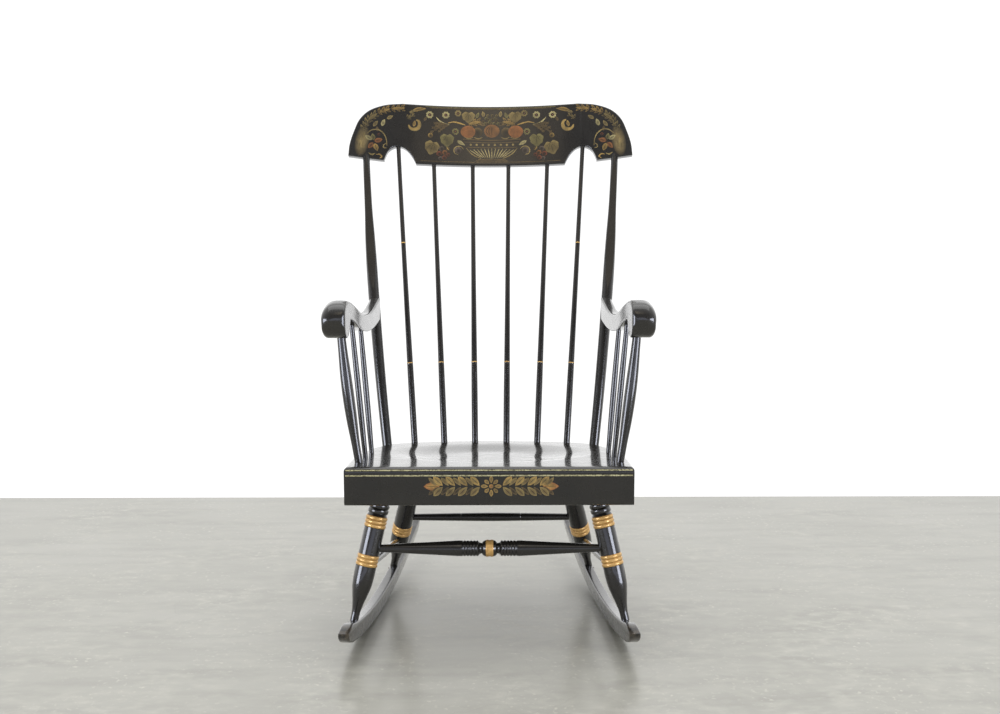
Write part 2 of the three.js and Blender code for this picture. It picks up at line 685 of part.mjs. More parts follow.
function armSpindle(side, i, lines) {
  const foot = placeAt(side, armSpindleFootShares[i], seatTopAt);
  const [from, to] = lengthened(foot, underArm(side, armSpindleHeadShares[i], lines), armSeatTenon, armTenon);
  const length = from.distanceTo(to);
  const rings = [[0, armSpindleRadius], [armSeatTenon, armSpindleRadius],
    ...armSpindleShares.map(([t, r]) => [t * length, armSpindleBelly * r]),
    [length - armTenon, armSpindleRadius], [length, armSpindleRadius]];
  const place = ['front', 'rear'][i];
  return roundPiece(`arm_spindle_${place}_${side > 0 ? 'left' : 'right'}`, from, to, rings, fineSides,
    [armSpindleRadius, armSpindleRadius, armSeatTenon, armTenon]);
}

// A plain pin or the hole for one
function pin(centre, direction, length, radius) {
  const half = direction.clone().normalize().multiplyScalar(length / 2);
  const from = centre.clone().sub(half);
  return turning(from, centre.clone().add(half), [[0, radius], [length, radius]], fineSides);
}

function pinned(name, centre, direction, length, radius, material, ...hosts) {
  const hole = pin(centre, direction, length + 2 * fit, radius + fit);
  for (const host of hosts) bore(host, hole);
  const mesh = pin(centre, direction, length, radius);
  mesh.name = name;
  mesh.material = material;
  chair.add(mesh);
}

const plank = seatPlank();
frontRail();
const crest = crestRail();
const seatCutters = [];
const crestCutters = [];
const halves = [];

for (const side of [1, -1]) {
  const hand = side > 0 ? 'left' : 'right';
  const runner = rocker(side);
  const front = leg(`front_leg_${hand}`, side, frontLegTopShare, frontLegFootShare,
    [upperBandDrop, lowerBandDrop], legBeadCount);
  const rear = leg(`rear_leg_${hand}`, side, rearLegTopShare, rearLegFootShare, [rearBandDrop], 0);
  seatCutters.push(front.head, rear.head);
  bore(runner, front.foot, rear.foot);

  const brace = stretcher(`side_stretcher_${hand}`, onAxis(front, sideStretcherFrontHeight),
    onAxis(rear, sideStretcherRearHeight), plainStretcherRings(sideStretcherEnd, sideStretcherSwell),
    sideStretcherEnd);
  bore(front.mesh, brace.foot);
  bore(rear.mesh, brace.head);

  // Cross pins hold each leg's round foot in the rocker
  for (const [place, piece] of [['front', front], ['rear', rear]]) {
    const height = (piece.from.z + rockerTopAt(piece.from.y)) / 2;
    pinned(`rocker_pin_${place}_${hand}`, onAxis(piece, height), across,
      rockerThickness - 2 * fit, rockerPinRadius, beech, runner, piece.mesh);
  }

  const post = backPost(side);
  seatCutters.push(post.foot);
  crestCutters.push(post.head);
  for (let i = 0; i < spindleFootShares.length; i++) {
    const spindle = backSpindle(side, i);
    seatCutters.push(spindle.foot);
    crestCutters.push(spindle.head);
  }

  const lines = armLines(post);
  const rest = arm(side, lines);
  const support = armPost(side, lines);
  seatCutters.push(support.foot);
  bore(rest, support.head);
  for (let i = 0; i < armSpindleFootShares.length; i++) {
    const spindle = armSpindle(side, i, lines);
    seatCutters.push(spindle.foot);
    bore(rest, spindle.head);
  }
  bore(rest, turning(post.from, post.to, post.rings.map(([d, r]) => [d, r + fit]), legSides, post.bow));

  // A screw from behind the post draws the arm's end against it
  const headFace = lines.end.clone().addScaledVector(back, postBellyRadius - armScrewSink);
  const tip = headFace.clone().addScaledVector(back, -2 * postBellyRadius - armScrewGrip);
  const screwRings = (extra) => {
    const length = headFace.distanceTo(tip);
    return [[-extra, armScrewRadius + extra], [length - armScrewHeadHeight, armScrewRadius + extra],
      [length - armScrewHeadHeight, armScrewHead + extra],
      [length + (extra ? overrun : 0), armScrewHead + extra]];
  };
  const screw = turning(tip, headFace, screwRings(0), fineSides);
  screw.name = `arm_screw_${hand}`;
  screw.material = steel;
  chair.add(screw);
  const screwHole = turning(tip, headFace, screwRings(fit), fineSides);
  bore(rest, screwHole);
  bore(post.mesh, screwHole);
  halves.push({ side, hand, front, rear, post });
}

// Cross stretchers join the left and right legs
const [left, right] = halves;
const frontRung = stretcher('front_stretcher', onAxis(right.front, frontStretcherHeight),
  onAxis(left.front, frontStretcherHeight), frontStretcherRings, frontStretcherEnd);
bore(right.front.mesh, frontRung.foot);
bore(left.front.mesh, frontRung.head);
const rearRung = stretcher('rear_stretcher', onAxis(right.rear, rearStretcherHeight),
  onAxis(left.rear, rearStretcherHeight), plainStretcherRings(rearStretcherEnd, rearStretcherSwell),
  rearStretcherEnd);
bore(right.rear.mesh, rearRung.foot);
bore(left.rear.mesh, rearRung.head);

bore(plank, ...seatCutters);
bore(crest, ...crestCutters);

// Small pins from behind lock the posts in the crest
const crestBack = new THREE.Vector3(0, 1, 0).applyEuler(crestFrame.rotation);
for (const { side, hand, post } of halves) {
  const middle = crestPoint(side * postHeadShare * crestHalfWidth, crestEarRise + postCrestTenon / 2);
  pinned(`crest_pin_${hand}`, middle.addScaledVector(crestBack, crestPinRadius), crestBack,
    crestThickness - 2 * crestPinRadius, crestPinRadius, beech, crest, post.mesh);
}

// Stand the chair on z 0 and centre it front to back
chair.updateMatrixWorld(true);
const box = new THREE.Box3().setFromObject(chair, true);
chair.position.set(0, -(box.min.y + box.max.y) / 2, -box.min.z);

export default chair;
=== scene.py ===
# A painted rocking chair with a rolled seat, a spindle back, a stencilled crest and scrolled arms.
# The chair is laid out in millimetres: x to the sitter's left, y back from the seat's front edge,
# z up from the floor.
import math
from functools import partial

import bmesh
import bpy
from mathutils import Matrix, Vector


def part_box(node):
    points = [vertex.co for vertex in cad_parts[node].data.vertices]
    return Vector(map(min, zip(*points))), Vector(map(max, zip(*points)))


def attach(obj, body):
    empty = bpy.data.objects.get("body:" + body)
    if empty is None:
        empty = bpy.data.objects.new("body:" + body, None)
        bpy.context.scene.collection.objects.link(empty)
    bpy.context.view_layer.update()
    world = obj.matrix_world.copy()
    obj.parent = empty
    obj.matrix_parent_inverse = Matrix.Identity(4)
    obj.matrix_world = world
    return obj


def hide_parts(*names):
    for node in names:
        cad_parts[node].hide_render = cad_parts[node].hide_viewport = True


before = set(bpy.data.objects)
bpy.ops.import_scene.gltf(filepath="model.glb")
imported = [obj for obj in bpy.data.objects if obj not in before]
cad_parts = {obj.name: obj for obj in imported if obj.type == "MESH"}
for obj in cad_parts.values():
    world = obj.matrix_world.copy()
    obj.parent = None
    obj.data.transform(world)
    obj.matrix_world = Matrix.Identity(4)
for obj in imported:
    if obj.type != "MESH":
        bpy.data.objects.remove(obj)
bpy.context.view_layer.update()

MM = 0.001
seat_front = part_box("front_rail")[0][1]

# Seat
SEAT_WIDTH, SEAT_DEPTH, SEAT_HEIGHT = 554, 448, 374
SEAT_TILT = math.radians(5)
PLANK_THICKNESS = 42
PLANK_ROUND = 8
DISH_WIDTH, DISH_LENGTH, DISH_BACK, DISH_DEPTH = 420, 310, 232, 9
# The dish's slope, as shares of the way from its middle to its rim
DISH_RIM, DISH_FLAT = 1.06, 0.44
RAIL_HEIGHT, RAIL_DEPTH = 75, 36
RAIL_TOP_ROUND, RAIL_FOOT_ROUND = 12, 8
SEAT_OUTLINE = [(1, 0), (1, 0.3), (0.955, 0.56), (0.895, 0.745), (0.775, 0.882), (0.44, 0.968)]


def on_seat(across_share, back_share):
    """A place on the seat, from shares of half its width and of its depth."""
    return across_share * SEAT_WIDTH / 2, back_share * SEAT_DEPTH


# Rockers
ROCKER_RADIUS, ROCKER_CONTACT = 1180, 256.1
ROCKER_NOSE, ROCKER_TAIL = -62, 668
ROCKER_HEIGHT, ROCKER_TAIL_HEIGHT = 40, 30
ROCKER_THICKNESS, ROCKER_ROUND = 22, 4
ROCKER_FACET = 40
ROCKER_CANT = 0.12
NOSE_LIFT, NOSE_RISE = 6, 3

# Legs
LEG_RADIUS, LEG_TOP_RADIUS, LEG_NECK_RADIUS = 20.5, 15.5, 8.2
LEG_SEAT_TENON, LEG_FOOT_TENON = 26, 24
BAND_RADIUS, BAND_GROOVE, BAND_HEIGHT = 21.6, 19, 23
BEAD_RADIUS, BEAD_GROOVE, BEAD_HEIGHT = 20.4, 18.2, 10
FRONT_LEG = (on_seat(0.747, 0.1875), on_seat(0.96, 0.078))
REAR_LEG = (on_seat(0.583, 0.774), on_seat(0.794, 0.96))
FRONT_BANDS, REAR_BANDS = (78, 155), (168,)
LEG_BEADS = (46, 56)
LEG_TAPER = [(0.16, 1), (0.36, 0.93), (0.52, 0.76), (0.68, 0.56), (0.84, 0.42)]
BAND_EDGE = 0.2
# Where a leg narrows under the seat: (distance from the seat, drop in radius)
FRONT_NECK, REAR_NECK, NECK_END = (26, 1), (60, 1.5), 9

# Stretchers
STRETCHER_TENON = 13
FRONT_STRETCHER_Z, REAR_STRETCHER_Z = 198, 174
SIDE_STRETCHER_Z = (160, 118)
SIDE_STRETCHER_RADII, REAR_STRETCHER_RADII = (6.8, 8.6), (7.4, 9.6)
SCORE_OFFSETS, SCORE_HALF, SCORE_DEPTH = (-66, 66), 0.9, 0.7
FRONT_STRETCHER_END, FRONT_STRETCHER_WAIST, FRONT_STRETCHER_SWELL, SWELL_START = 7.6, 11.5, 15.5, 62
GROOVES, GROOVE_START, GROOVE_PITCH = 5, 20.3, 6.35
# (distance, radius): a groove about its own place; a neck, a ball and its gilt band out from the middle
GROOVE_PROFILE = [(2.2, 15.5), (1, 15.1), (0, 14), (-1, 15.1), (-2.2, 15.5)]
NECK_PROFILE = [(22.5, 15.2), (19, 11.6), (16.6, 10.5)]
BALL_PROFILE = [(15, 10.5), (14.2, 12.4), (11.5, 14.8), (8.2, 16), (7.4, 16.2)]
BALL_BAND_PROFILE = [(7.4, 16.2), (6.6, 16.7), (4, 16.9), (2.4, 16.7), (0.8, 16.2)]

# Crest rail
CREST_HALF, CREST_HEIGHT, CREST_THICKNESS = 321, 141.5, 19
CREST_BEND = 950
CREST_RAKE = math.radians(17)
CREST_FOOT = (608, 945)
CREST_EAR_RISE = 7
CREST_ROUND = 2.4
NOTCH_OUTER, NOTCH_PEAK, NOTCH_INNER = 0.754 * CREST_HALF, 0.651 * CREST_HALF, 0.531 * CREST_HALF
NOTCH_DEPTH = 39
NOTCH_INNER_LINE = [(0, 0), (0.22, 0.41), (0.4, 0.65), (0.58, 0.83), (0.8, 0.96), (1, 1)]
NOTCH_OUTER_LINE = [(0.26, 0.96), (0.52, 0.83), (0.72, 0.65), (0.84, 0.44), (0.93, 0.22), (1, 0)]
CREST_SHOULDER = [(0.992, 0.24), (0.965, 0.46), (0.925, 0.68), (0.86, 0.84), (0.75, 0.955), (0.63, 1)]

# Back posts and spindles
POST_FOOT, POST_HEAD, POST_BOW = on_seat(0.816, 0.844), 0.875 * CREST_HALF, (5, -15)
POST_FOOT_RADIUS, POST_BELLY, POST_HEAD_RADIUS = 10.8, 12.3, 7.8
POST_TENONS = (28, 40)
POST_PROFILE = [(0.06, 0.9), (0.3, 0.97), (0.5, 1), (0.62, 1), (0.72, 0.9), (0.82, 0.72)]
POST_FLAT = [(0.53, 1), (0.6, 0.72), (0.68, 0.62), (0.84, 0.6), (0.93, 1)]
SPINDLE_FEET = [on_seat(0.126, 0.933), on_seat(0.372, 0.926), on_seat(0.607, 0.904)]
SPINDLE_HEADS = [share * CREST_HALF for share in (0.128, 0.405, 0.657)]
SPINDLE_FOOT_RADIUS, SPINDLE_HEAD_RADIUS, SPINDLE_BOW = 7.2, 4.9, -12
SPINDLE_TENON = 24
SPINDLE_PROFILE = [(0.18, 1), (0.34, 0.9), (0.62, 0.76), (0.85, 0.7)]
SPINDLE_RINGS = (511, 774)
RING_HALF, RING_EDGE, RING_PROUD = 1.1, 0.5, 0.12

# Arms
ARM_FRONT, ARM_BITE = 8, 3
ARM_INNER_FRONT, ARM_FRONT_WIDTH, ARM_BACK_WIDTH = 0.978 * SEAT_WIDTH / 2, 46, 24.5
ARM_TOP, ARM_UNDER = 689, 617
ARM_TOP_LINE = [(1, 0.548), (0.907, 0.437), (0.791, 0.32), (0.675, 0.275), (0.54, 0.33), (0.4, 0.53),
                (0.26, 0.785), (0.167, 0.93), (0.1, 0.995)]
ARM_SCROLL = [(0.045, 0.93), (0.01, 0.74), (0, 0.53), (0.012, 0.27), (0.035, 0.08), (0.07, 0),
              (0.102, 0.04), (0.126, 0.19), (0.14, 0.37)]
ARM_UNDER_LINE = [(0.167, 0.43), (0.26, 0.32), (0.4, 0.04), (0.553, -0.16), (0.68, -0.24), (0.8, -0.24),
                  (0.91, -0.19), (1, -0.13)]
ARM_OUTER_LINE = [(0, 1), (0.17, 1), (0.32, 0.83), (0.47, 0.57), (0.62, 0.32), (0.75, 0.15), (0.88, 0.05),
                  (1, 0)]
# Corner radii of an arm's cross-section: outer top, inner top, inner foot, outer foot
SCROLL_RADII, BAR_RADII = (24, 5, 2, 11), (8, 4, 3, 6)
SCROLL_DOME, SCROLL_DRAW_IN, DOME_PEAK = 5, 2, 0.35
WIDEST_ROUND, TALLEST_ROUND = 0.46, 0.48
# Where the scroll eases into the bar, and the bar starts to lean with the post, as shares of the length
SCROLL_TO_BAR, BAR_LEAN = (0.13, 0.33), (0.8, 1)
# The scroll's front in plan: how far each side draws in, and over what depth
BARREL_OUTER, BARREL_INNER = (21, 10), (13, 7)
ARM_POST_FOOT, ARM_POST_HEAD = on_seat(0.919, 0.167), (0.452, 0.18)
ARM_POST_RADIUS, ARM_POST_BELLY, ARM_POST_BOW = 8, 11.6, 4
ARM_POST_PROFILE = [(0.14, 0.15), (0.3, 0.75), (0.45, 1), (0.6, 0.9), (0.8, 0.3)]
ARM_SPINDLE_FEET = [on_seat(0.904, 0.326), on_seat(0.888, 0.509)]
ARM_SPINDLE_HEADS = [(0.29, 0.347), (0.31, 0.553)]
ARM_SPINDLE_RADIUS, ARM_SPINDLE_BELLY, ARM_SPINDLE_BELLY_SHARES = 5, 6.2, (0.35, 0.6)
ARM_TENON, ARM_SEAT_TENON = 16, 24


# Layout

FLAT_SAG = ROCKER_RADIUS - math.sqrt(ROCKER_RADIUS ** 2 - (ROCKER_FACET / 2) ** 2)


def room(x, y, z):
    """A place in the chair's own layout, in the shared frame."""
    return Vector((x * MM, y * MM + seat_front, (z - FLAT_SAG) * MM))


def seat_top(y):
    """Height of the seat's top, before its dish, at a depth."""
    return SEAT_HEIGHT - y * math.tan(SEAT_TILT)


def seat_under(y):
    """Height of the seat's underside at a depth."""
    return seat_top(y) - PLANK_THICKNESS / math.cos(SEAT_TILT)


def rocker_under(y):
    """Height of a rocker's underside at a depth, before its flat facets."""
    return ROCKER_RADIUS - math.sqrt(ROCKER_RADIUS ** 2 - (y - ROCKER_CONTACT) ** 2)


def rocker_top(y):
    """Height of a rocker's top edge where its board is at full height."""
    return rocker_under(y) + ROCKER_HEIGHT


def rocker_line():
    """The toe-in and the spread of a rocker whose line passes through both of its legs' feet."""
    near, far = ((x + ROCKER_CANT * (rocker_top(y) - LEG_FOOT_TENON / 2), y)
                 for x, y in (FRONT_LEG[1], REAR_LEG[1]))
    toe_in = (near[0] - far[0]) / (far[1] - near[1])
    return toe_in, near[0] + toe_in * near[1]


TOE_IN, ROCKER_SPREAD = rocker_line()


def seat_room(x, y, z):
    """x, y, z measured on the seat, which leans back about its front edge."""
    c, s = math.cos(SEAT_TILT), math.sin(SEAT_TILT)
    return room(x, y * c + z * s, SEAT_HEIGHT - y * s + z * c)


def crest_layout(x, rise, depth=0.0):
    """A place on the bent, leaning crest: depth is from its middle, towards the back."""
    y = math.sqrt((CREST_BEND + depth) ** 2 - x * x) - CREST_BEND
    c, s = math.cos(CREST_RAKE), math.sin(CREST_RAKE)
    return Vector((x, CREST_FOOT[0] + y * c + rise * s, CREST_FOOT[1] - y * s + rise * c))


def crest_room(x, rise, depth=0.0):
    """A place on the crest, in the shared frame."""
    return room(*crest_layout(x, rise, depth))


def along(table, t):
    """Reads a table of (place, value) pairs, straight between its rows."""
    if t <= table[0][0]:
        return table[0][1]
    for (t0, v0), (t1, v1) in zip(table, table[1:]):
        if t <= t1:
            return v0 + (v1 - v0) * (t - t0) / (t1 - t0)
    return table[-1][1]


def eased(share):
    """A share held between 0 and 1 that starts and ends softly."""
    share = min(max(share, 0), 1)
    return share * share * (3 - 2 * share)


def smooth_line(points, steps):
    """A smooth line through points, with even steps between each pair."""
    line = []
    ends = [tuple(2 * a - b for a, b in zip(points[0], points[1]))]
    far = [tuple(2 * a - b for a, b in zip(points[-1], points[-2]))]
    padded = ends + list(points) + far
    for p0, p1, p2, p3 in zip(padded, padded[1:], padded[2:], padded[3:]):
        p0, p1, p2, p3 = (Vector(p) for p in (p0, p1, p2, p3))
        d0, d1, d2 = (max((b - a).length, 1e-6) ** 0.5 for a, b in ((p0, p1), (p1, p2), (p2, p3)))
        m1 = p2 - p1 + d1 * ((p1 - p0) / d0 - (p2 - p0) / (d0 + d1))
        m2 = p2 - p1 + d1 * ((p3 - p2) / d2 - (p3 - p1) / (d1 + d2))
        for i in range(steps):
            t = i / steps
            line.append((2 * t ** 3 - 3 * t * t + 1) * p1 + (t ** 3 - 2 * t * t + t) * m1
                        + (3 * t * t - 2 * t ** 3) * p2 + (t ** 3 - t * t) * m2)
    line.append(Vector(points[-1]))
    return line


def curve_to(line, control, end, steps=8):
    """Runs an outline on from its last point by one bent stretch."""
    start = Vector(line[-1])
    control, end = Vector(control), Vector(end)
    for i in range(1, steps + 1):
        t = i / steps
        line.append(start * (1 - t) ** 2 + control * 2 * t * (1 - t) + end * t * t)


# Finishes

SCUFF_START, SCUFF_FULL = -322 * MM, -352 * MM


def colour(code):
    """An sRGB hex value as linear colour."""
    parts = [int(code[i:i + 2], 16) / 255 for i in (1, 3, 5)]
    return tuple(p / 12.92 if p <= 0.04045 else ((p + 0.055) / 1.055) ** 2.4 for p in parts) + (1.0,)


def wire(tree, node, wires):
    """Sets or wires sockets by name or number; a node stands for its first output in use."""
    for key, value in wires.items():
        if isinstance(value, bpy.types.Node):
            value = next(out for out in value.outputs if out.enabled)
        if isinstance(value, bpy.types.NodeSocket):
            tree.links.new(value, node.inputs[key])
        else:
            node.inputs[key].default_value = value
    return node


def add_node(tree, kind, wires=None, **settings):
    """Adds a node with its settings and links."""
    made = tree.nodes.new(kind)
    for key, value in settings.items():
        setattr(made, key, value)
    return wire(tree, made, wires or {})


def per_mm(size):
    """A pattern's scale for features of this size in millimetres."""
    return 1 / (size * MM)


def new_finish(name, **constants):
    """A material with its surface shader's even values set on its own sockets, and its coordinates."""
    made = bpy.data.materials.new(name)
    made.use_nodes = True
    tree = made.node_tree
    shader = tree.nodes["Principled BSDF"]
    wire(tree, shader, {key.replace("_", " "): value for key, value in constants.items()})
    return made, tree, shader, add_node(tree, "ShaderNodeTexCoord").outputs["Object"]


def patches(tree, place, size, low, high, least=0.0, most=1.0, detail=3.0, stretch=(1.0, 1.0, 1.0)):
    """Soft patches of a size in millimetres: a share of least between them and of most within."""
    place = add_node(tree, "ShaderNodeMapping", {"Vector": place, "Scale": stretch})
    cloud = add_node(tree, "ShaderNodeTexNoise", {"Vector": place, "Scale": per_mm(size), "Detail": detail})
    return add_node(tree, "ShaderNodeMapRange", {"Value": cloud, "From Min": low, "From Max": high,
                                                 "To Min": least, "To Max": most})


def coats(tree, base, *over):
    """Colours laid over each other, each by its own share of the surface."""
    tone = colour(base) if isinstance(base, str) else base
    for share, code in over:
        tone = add_node(tree, "ShaderNodeMix", {0: share, 6: tone, 7: colour(code)}, data_type="RGBA")
    return tone


def black_lacquer(name="black_lacquer", scuffed=False):
    """Sprayed black lacquer over hardwood: a deep warm black with a wet gloss, faint ripples, fine dust
    on what faces up and brown wood where edges have rubbed through."""
    made, tree, shader, place = new_finish(name, IOR=1.5, Specular_IOR_Level=0.35, Coat_Weight=1.0,
                                           Coat_Roughness=0.08, Coat_IOR=1.5)
    geometry = add_node(tree, "ShaderNodeNewGeometry")
    # Lacquer is thicker and thinner over patches the width of a hand
    over = [(patches(tree, place, 70, 0.35, 0.7), "#181613")]
    # Wood shows at edges that hands and feet rub
    edge = add_node(tree, "ShaderNodeMapRange", {"Value": geometry.outputs["Pointiness"], "From Min": 0.6,
                                                 "From Max": 0.7, "To Max": 0.45})
    rubbed = add_node(tree, "ShaderNodeMath", {0: edge, 1: patches(tree, place, 9, 0.56, 0.68, detail=5.0)},
                      operation="MULTIPLY")
    over.append((rubbed, "#4f3824"))
    if scuffed:
        # Shoes wear the rockers' noses down to brown wood and grey grime
        ahead = add_node(tree, "ShaderNodeSeparateXYZ", {"Vector": place}).outputs["Y"]
        near = add_node(tree, "ShaderNodeMapRange", {"Value": ahead, "From Min": SCUFF_START,
                                                     "From Max": SCUFF_FULL, "To Max": 0.6})
        worn = patches(tree, place, 12, 0.4, 0.62, detail=6.0)
        scuff = add_node(tree, "ShaderNodeMath", {0: near, 1: worn}, operation="MULTIPLY")
        over.append((scuff, "#4c4234"))
    # Dust grains near 0.4 mm are drawn at 1 mm, as fine as the picture holds
    facing = add_node(tree, "ShaderNodeSeparateXYZ", {"Vector": geometry.outputs["Normal"]}).outputs["Z"]
    upward = add_node(tree, "ShaderNodeMapRange", {"Value": facing, "From Min": 0.2, "From Max": 0.9,
                                                   "To Max": 0.04})
    dust = add_node(tree, "ShaderNodeMath", {0: patches(tree, place, 1.0, 0.66, 0.78, detail=2.0), 1: upward},
                    operation="MULTIPLY")
    over.append((dust, "#a9a397"))
    gloss = add_node(tree, "ShaderNodeMath", {0: patches(tree, place, 26, 0.3, 0.7, 0.24, 0.32), 1: dust},
                     operation="ADD")
    # Ripples of the dried film, about 16 mm apart, and pores of the wood under it
    ripple = add_node(tree, "ShaderNodeBump", {"Height": patches(tree, place, 16, 0, 1, detail=1.0),
                                               "Strength": 0.05, "Distance": 0.3 * MM})
    grain = patches(tree, place, 1.4, 0, 1, detail=2.0, stretch=(1.0, 1.0, 0.12))
    pores = add_node(tree, "ShaderNodeBump", {"Height": grain, "Strength": 0.012, "Distance": 0.1 * MM,
                                              "Normal": ripple})
    wire(tree, shader, {"Base Color": coats(tree, "#11100e", *over), "Roughness": gloss, "Normal": pores,
                        "Coat Normal": ripple})
    return made


def bronze_powder(name="bronze_powder_bands"):
    """Bronze powder brushed in varnish over turned beads: a soft metal shine, with painted shade that browns
    the grooves, and small dark rubs."""
    made, tree, shader, place = new_finish(name, Metallic=0.5, Coat_Weight=0.3, Coat_Roughness=0.14)
    rise = add_node(tree, "ShaderNodeNewGeometry").outputs["Pointiness"]
    # Painted shade: the hollow grooves between the beads, found by low pointiness, are darkened to brown
    groove = add_node(tree, "ShaderNodeMapRange", {"Value": rise, "From Min": 0.49, "From Max": 0.42})
    tone = coats(tree, "#d0a869", (patches(tree, place, 5, 0.3, 0.7), "#b88f50"), (groove, "#7a5a2b"),
                 (patches(tree, place, 3.5, 0.64, 0.7, 0.0, 0.6, 5.0), "#5a4124"))
    # Brush marks near 0.2 mm are drawn at 0.8 mm
    brushed = add_node(tree, "ShaderNodeBump", {"Height": patches(tree, place, 0.8, 0, 1), "Strength": 0.12,
                                                "Distance": 0.1 * MM})
    wire(tree, shader, {"Base Color": tone, "Roughness": patches(tree, place, 1.2, 0.3, 0.7, 0.26, 0.4),
                        "Normal": brushed})
    return made


def striping_paint(name, light, dark, cover):
    """Thin striping paint drawn with a long brush: matt against the lacquer, with gaps where it has worn."""
    made, tree, shader, place = new_finish(name, Coat_Weight=0.3, Coat_Roughness=0.1)
    worn = patches(tree, place, 2.4, 0.5, 0.62, 0.0, cover, 4.0)
    gloss = add_node(tree, "ShaderNodeMapRange", {"Value": worn, "To Min": 0.42, "To Max": 0.25})
    tone = coats(tree, light, (patches(tree, place, 14, 0.3, 0.7), dark), (worn, "#1d1a16"))
    wire(tree, shader, {"Base Color": tone, "Roughness": gloss})
    return made


def stencil_bronze(name="stencil_bronze"):
    """Bronze powders rubbed through stencils on tacky varnish: each shape is bright at its rim and fades
    towards the black, in gold, copper and reddish powders."""
    made, tree, shader, place = new_finish(name, Metallic=0.35, Coat_Weight=0.5, Coat_Roughness=0.08)
    tint = add_node(tree, "ShaderNodeAttribute", attribute_name="Powder")
    thin = patches(tree, place, 1.6, 0.35, 0.7, 0.0, 0.45, 4.0)
    gloss = add_node(tree, "ShaderNodeMapRange", {"Value": thin, "To Min": 0.34, "To Max": 0.5})
    faded = patches(tree, place, 16, 0.42, 0.68, 0.0, 0.5, 2.0)
    tone = coats(tree, tint, (thin, "#241f18"), (faded, "#2a251d"))
    wire(tree, shader, {"Base Color": tone, "Roughness": gloss})
    return made


def plated_steel(name="zinc_plated_steel"):
    """Zinc plated steel screws, dulled by age: grey with darker blotches and turning marks."""
    made, tree, shader, place = new_finish(name, Metallic=1.0)
    wire(tree, shader, {"Base Color": coats(tree, "#8d8a84", (patches(tree, place, 2, 0.3, 0.7), "#5a564f")),
                        "Roughness": patches(tree, place, 0.7, 0.3, 0.7, 0.32, 0.5)})
    return made


def oiled_beech(name="beech_pins"):
    """Beech pins, touched in with lacquer at their ends: short brown flecks along the grain."""
    made, tree, shader, place = new_finish(name, IOR=1.45)
    fleck = patches(tree, place, 1.2, 0.4, 0.7, detail=4.0, stretch=(0.15, 1.0, 1.0))
    gloss = add_node(tree, "ShaderNodeMapRange", {"Value": fleck, "To Min": 0.45, "To Max": 0.6})
    wire(tree, shader, {"Base Color": coats(tree, "#5a4129", (fleck, "#2c2117")), "Roughness": gloss})
    return made


LACQUER = black_lacquer()
SCUFFED_LACQUER = black_lacquer("scuffed_black_lacquer", True)
BRONZE = bronze_powder()
CREAM_STRIPE = striping_paint("cream_striping_paint", "#aea880", "#857f5a", 0.8)
GOLD_RING = striping_paint("gold_striping_paint", "#c9a257", "#a77f38", 0.3)
STENCIL = stencil_bronze()
STEEL = plated_steel()
BEECH = oiled_beech()


# Mesh building

# Points closer than the gap are one; a planed flat is never shallower, nor a mitre sharper, than these shares
WELD_GAP, SHALLOWEST_FLAT, SHARPEST_MITRE = 0.02 * MM, 0.994, 0.55
CUT_GAP, BEAD_FULLNESS = 0.0001, 0.8


def put(name, data):
    """A new object, put in the scene."""
    made = bpy.data.objects.new(name, data)
    bpy.context.scene.collection.objects.link(made)
    return made


def shape_piece(name, verts, faces, finishes=(LACQUER,), slot="lacquer", marks=None, sharp=32):
    """Makes one named piece, smooth but for edges sharper than the given angle."""
    mesh = bpy.data.meshes.new(name)
    mesh.from_pydata([tuple(v) for v in verts], [], faces)
    for finish in finishes:
        mesh.materials.append(finish)
    if marks:
        mesh.polygons.foreach_set("material_index", marks)
    settle(name, mesh, sharp)


def settle(name, mesh, sharp):
    """Closes a mesh, marks its sharp edges and puts it in the place of the node of its name."""
    bm = bmesh.new()
    bm.from_mesh(mesh)
    bmesh.ops.remove_doubles(bm, verts=bm.verts, dist=WELD_GAP)
    bmesh.ops.recalc_face_normals(bm, faces=bm.faces)
    for edge in bm.edges:
        edge.smooth = len(edge.link_faces) != 2 or edge.calc_face_angle(0) < math.radians(sharp)
    for face in bm.faces:
        face.smooth = True
    bm.to_mesh(mesh)
    bm.free()
    piece = put("painted_" + name, mesh)
    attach(piece, "root")
    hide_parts(name)


def rings_to_faces(rings):
    """Joins rings of equal count into a skin, and fans each end to its own middle."""
    count = len(rings[0])
    verts = [v for ring in rings for v in ring]
    faces = []
    for k in range(len(rings) - 1):
        for i in range(count):
            j = (i + 1) % count
            faces.append((k * count + i, k * count + j, (k + 1) * count + j, (k + 1) * count + i))
    for ring, first in ((rings[0], 0), (rings[-1], (len(rings) - 1) * count)):
        verts.append(sum((Vector(v) for v in ring), Vector()) / count)
        middle = len(verts) - 1
        faces.extend((first + i, first + (i + 1) % count, middle) for i in range(count))
    return verts, faces


def lengthen(foot, head, before, after):
    """The line from foot to head, drawn out at both of its ends."""
    direction = (head - foot).normalized()
    return foot - direction * before, head + direction * after


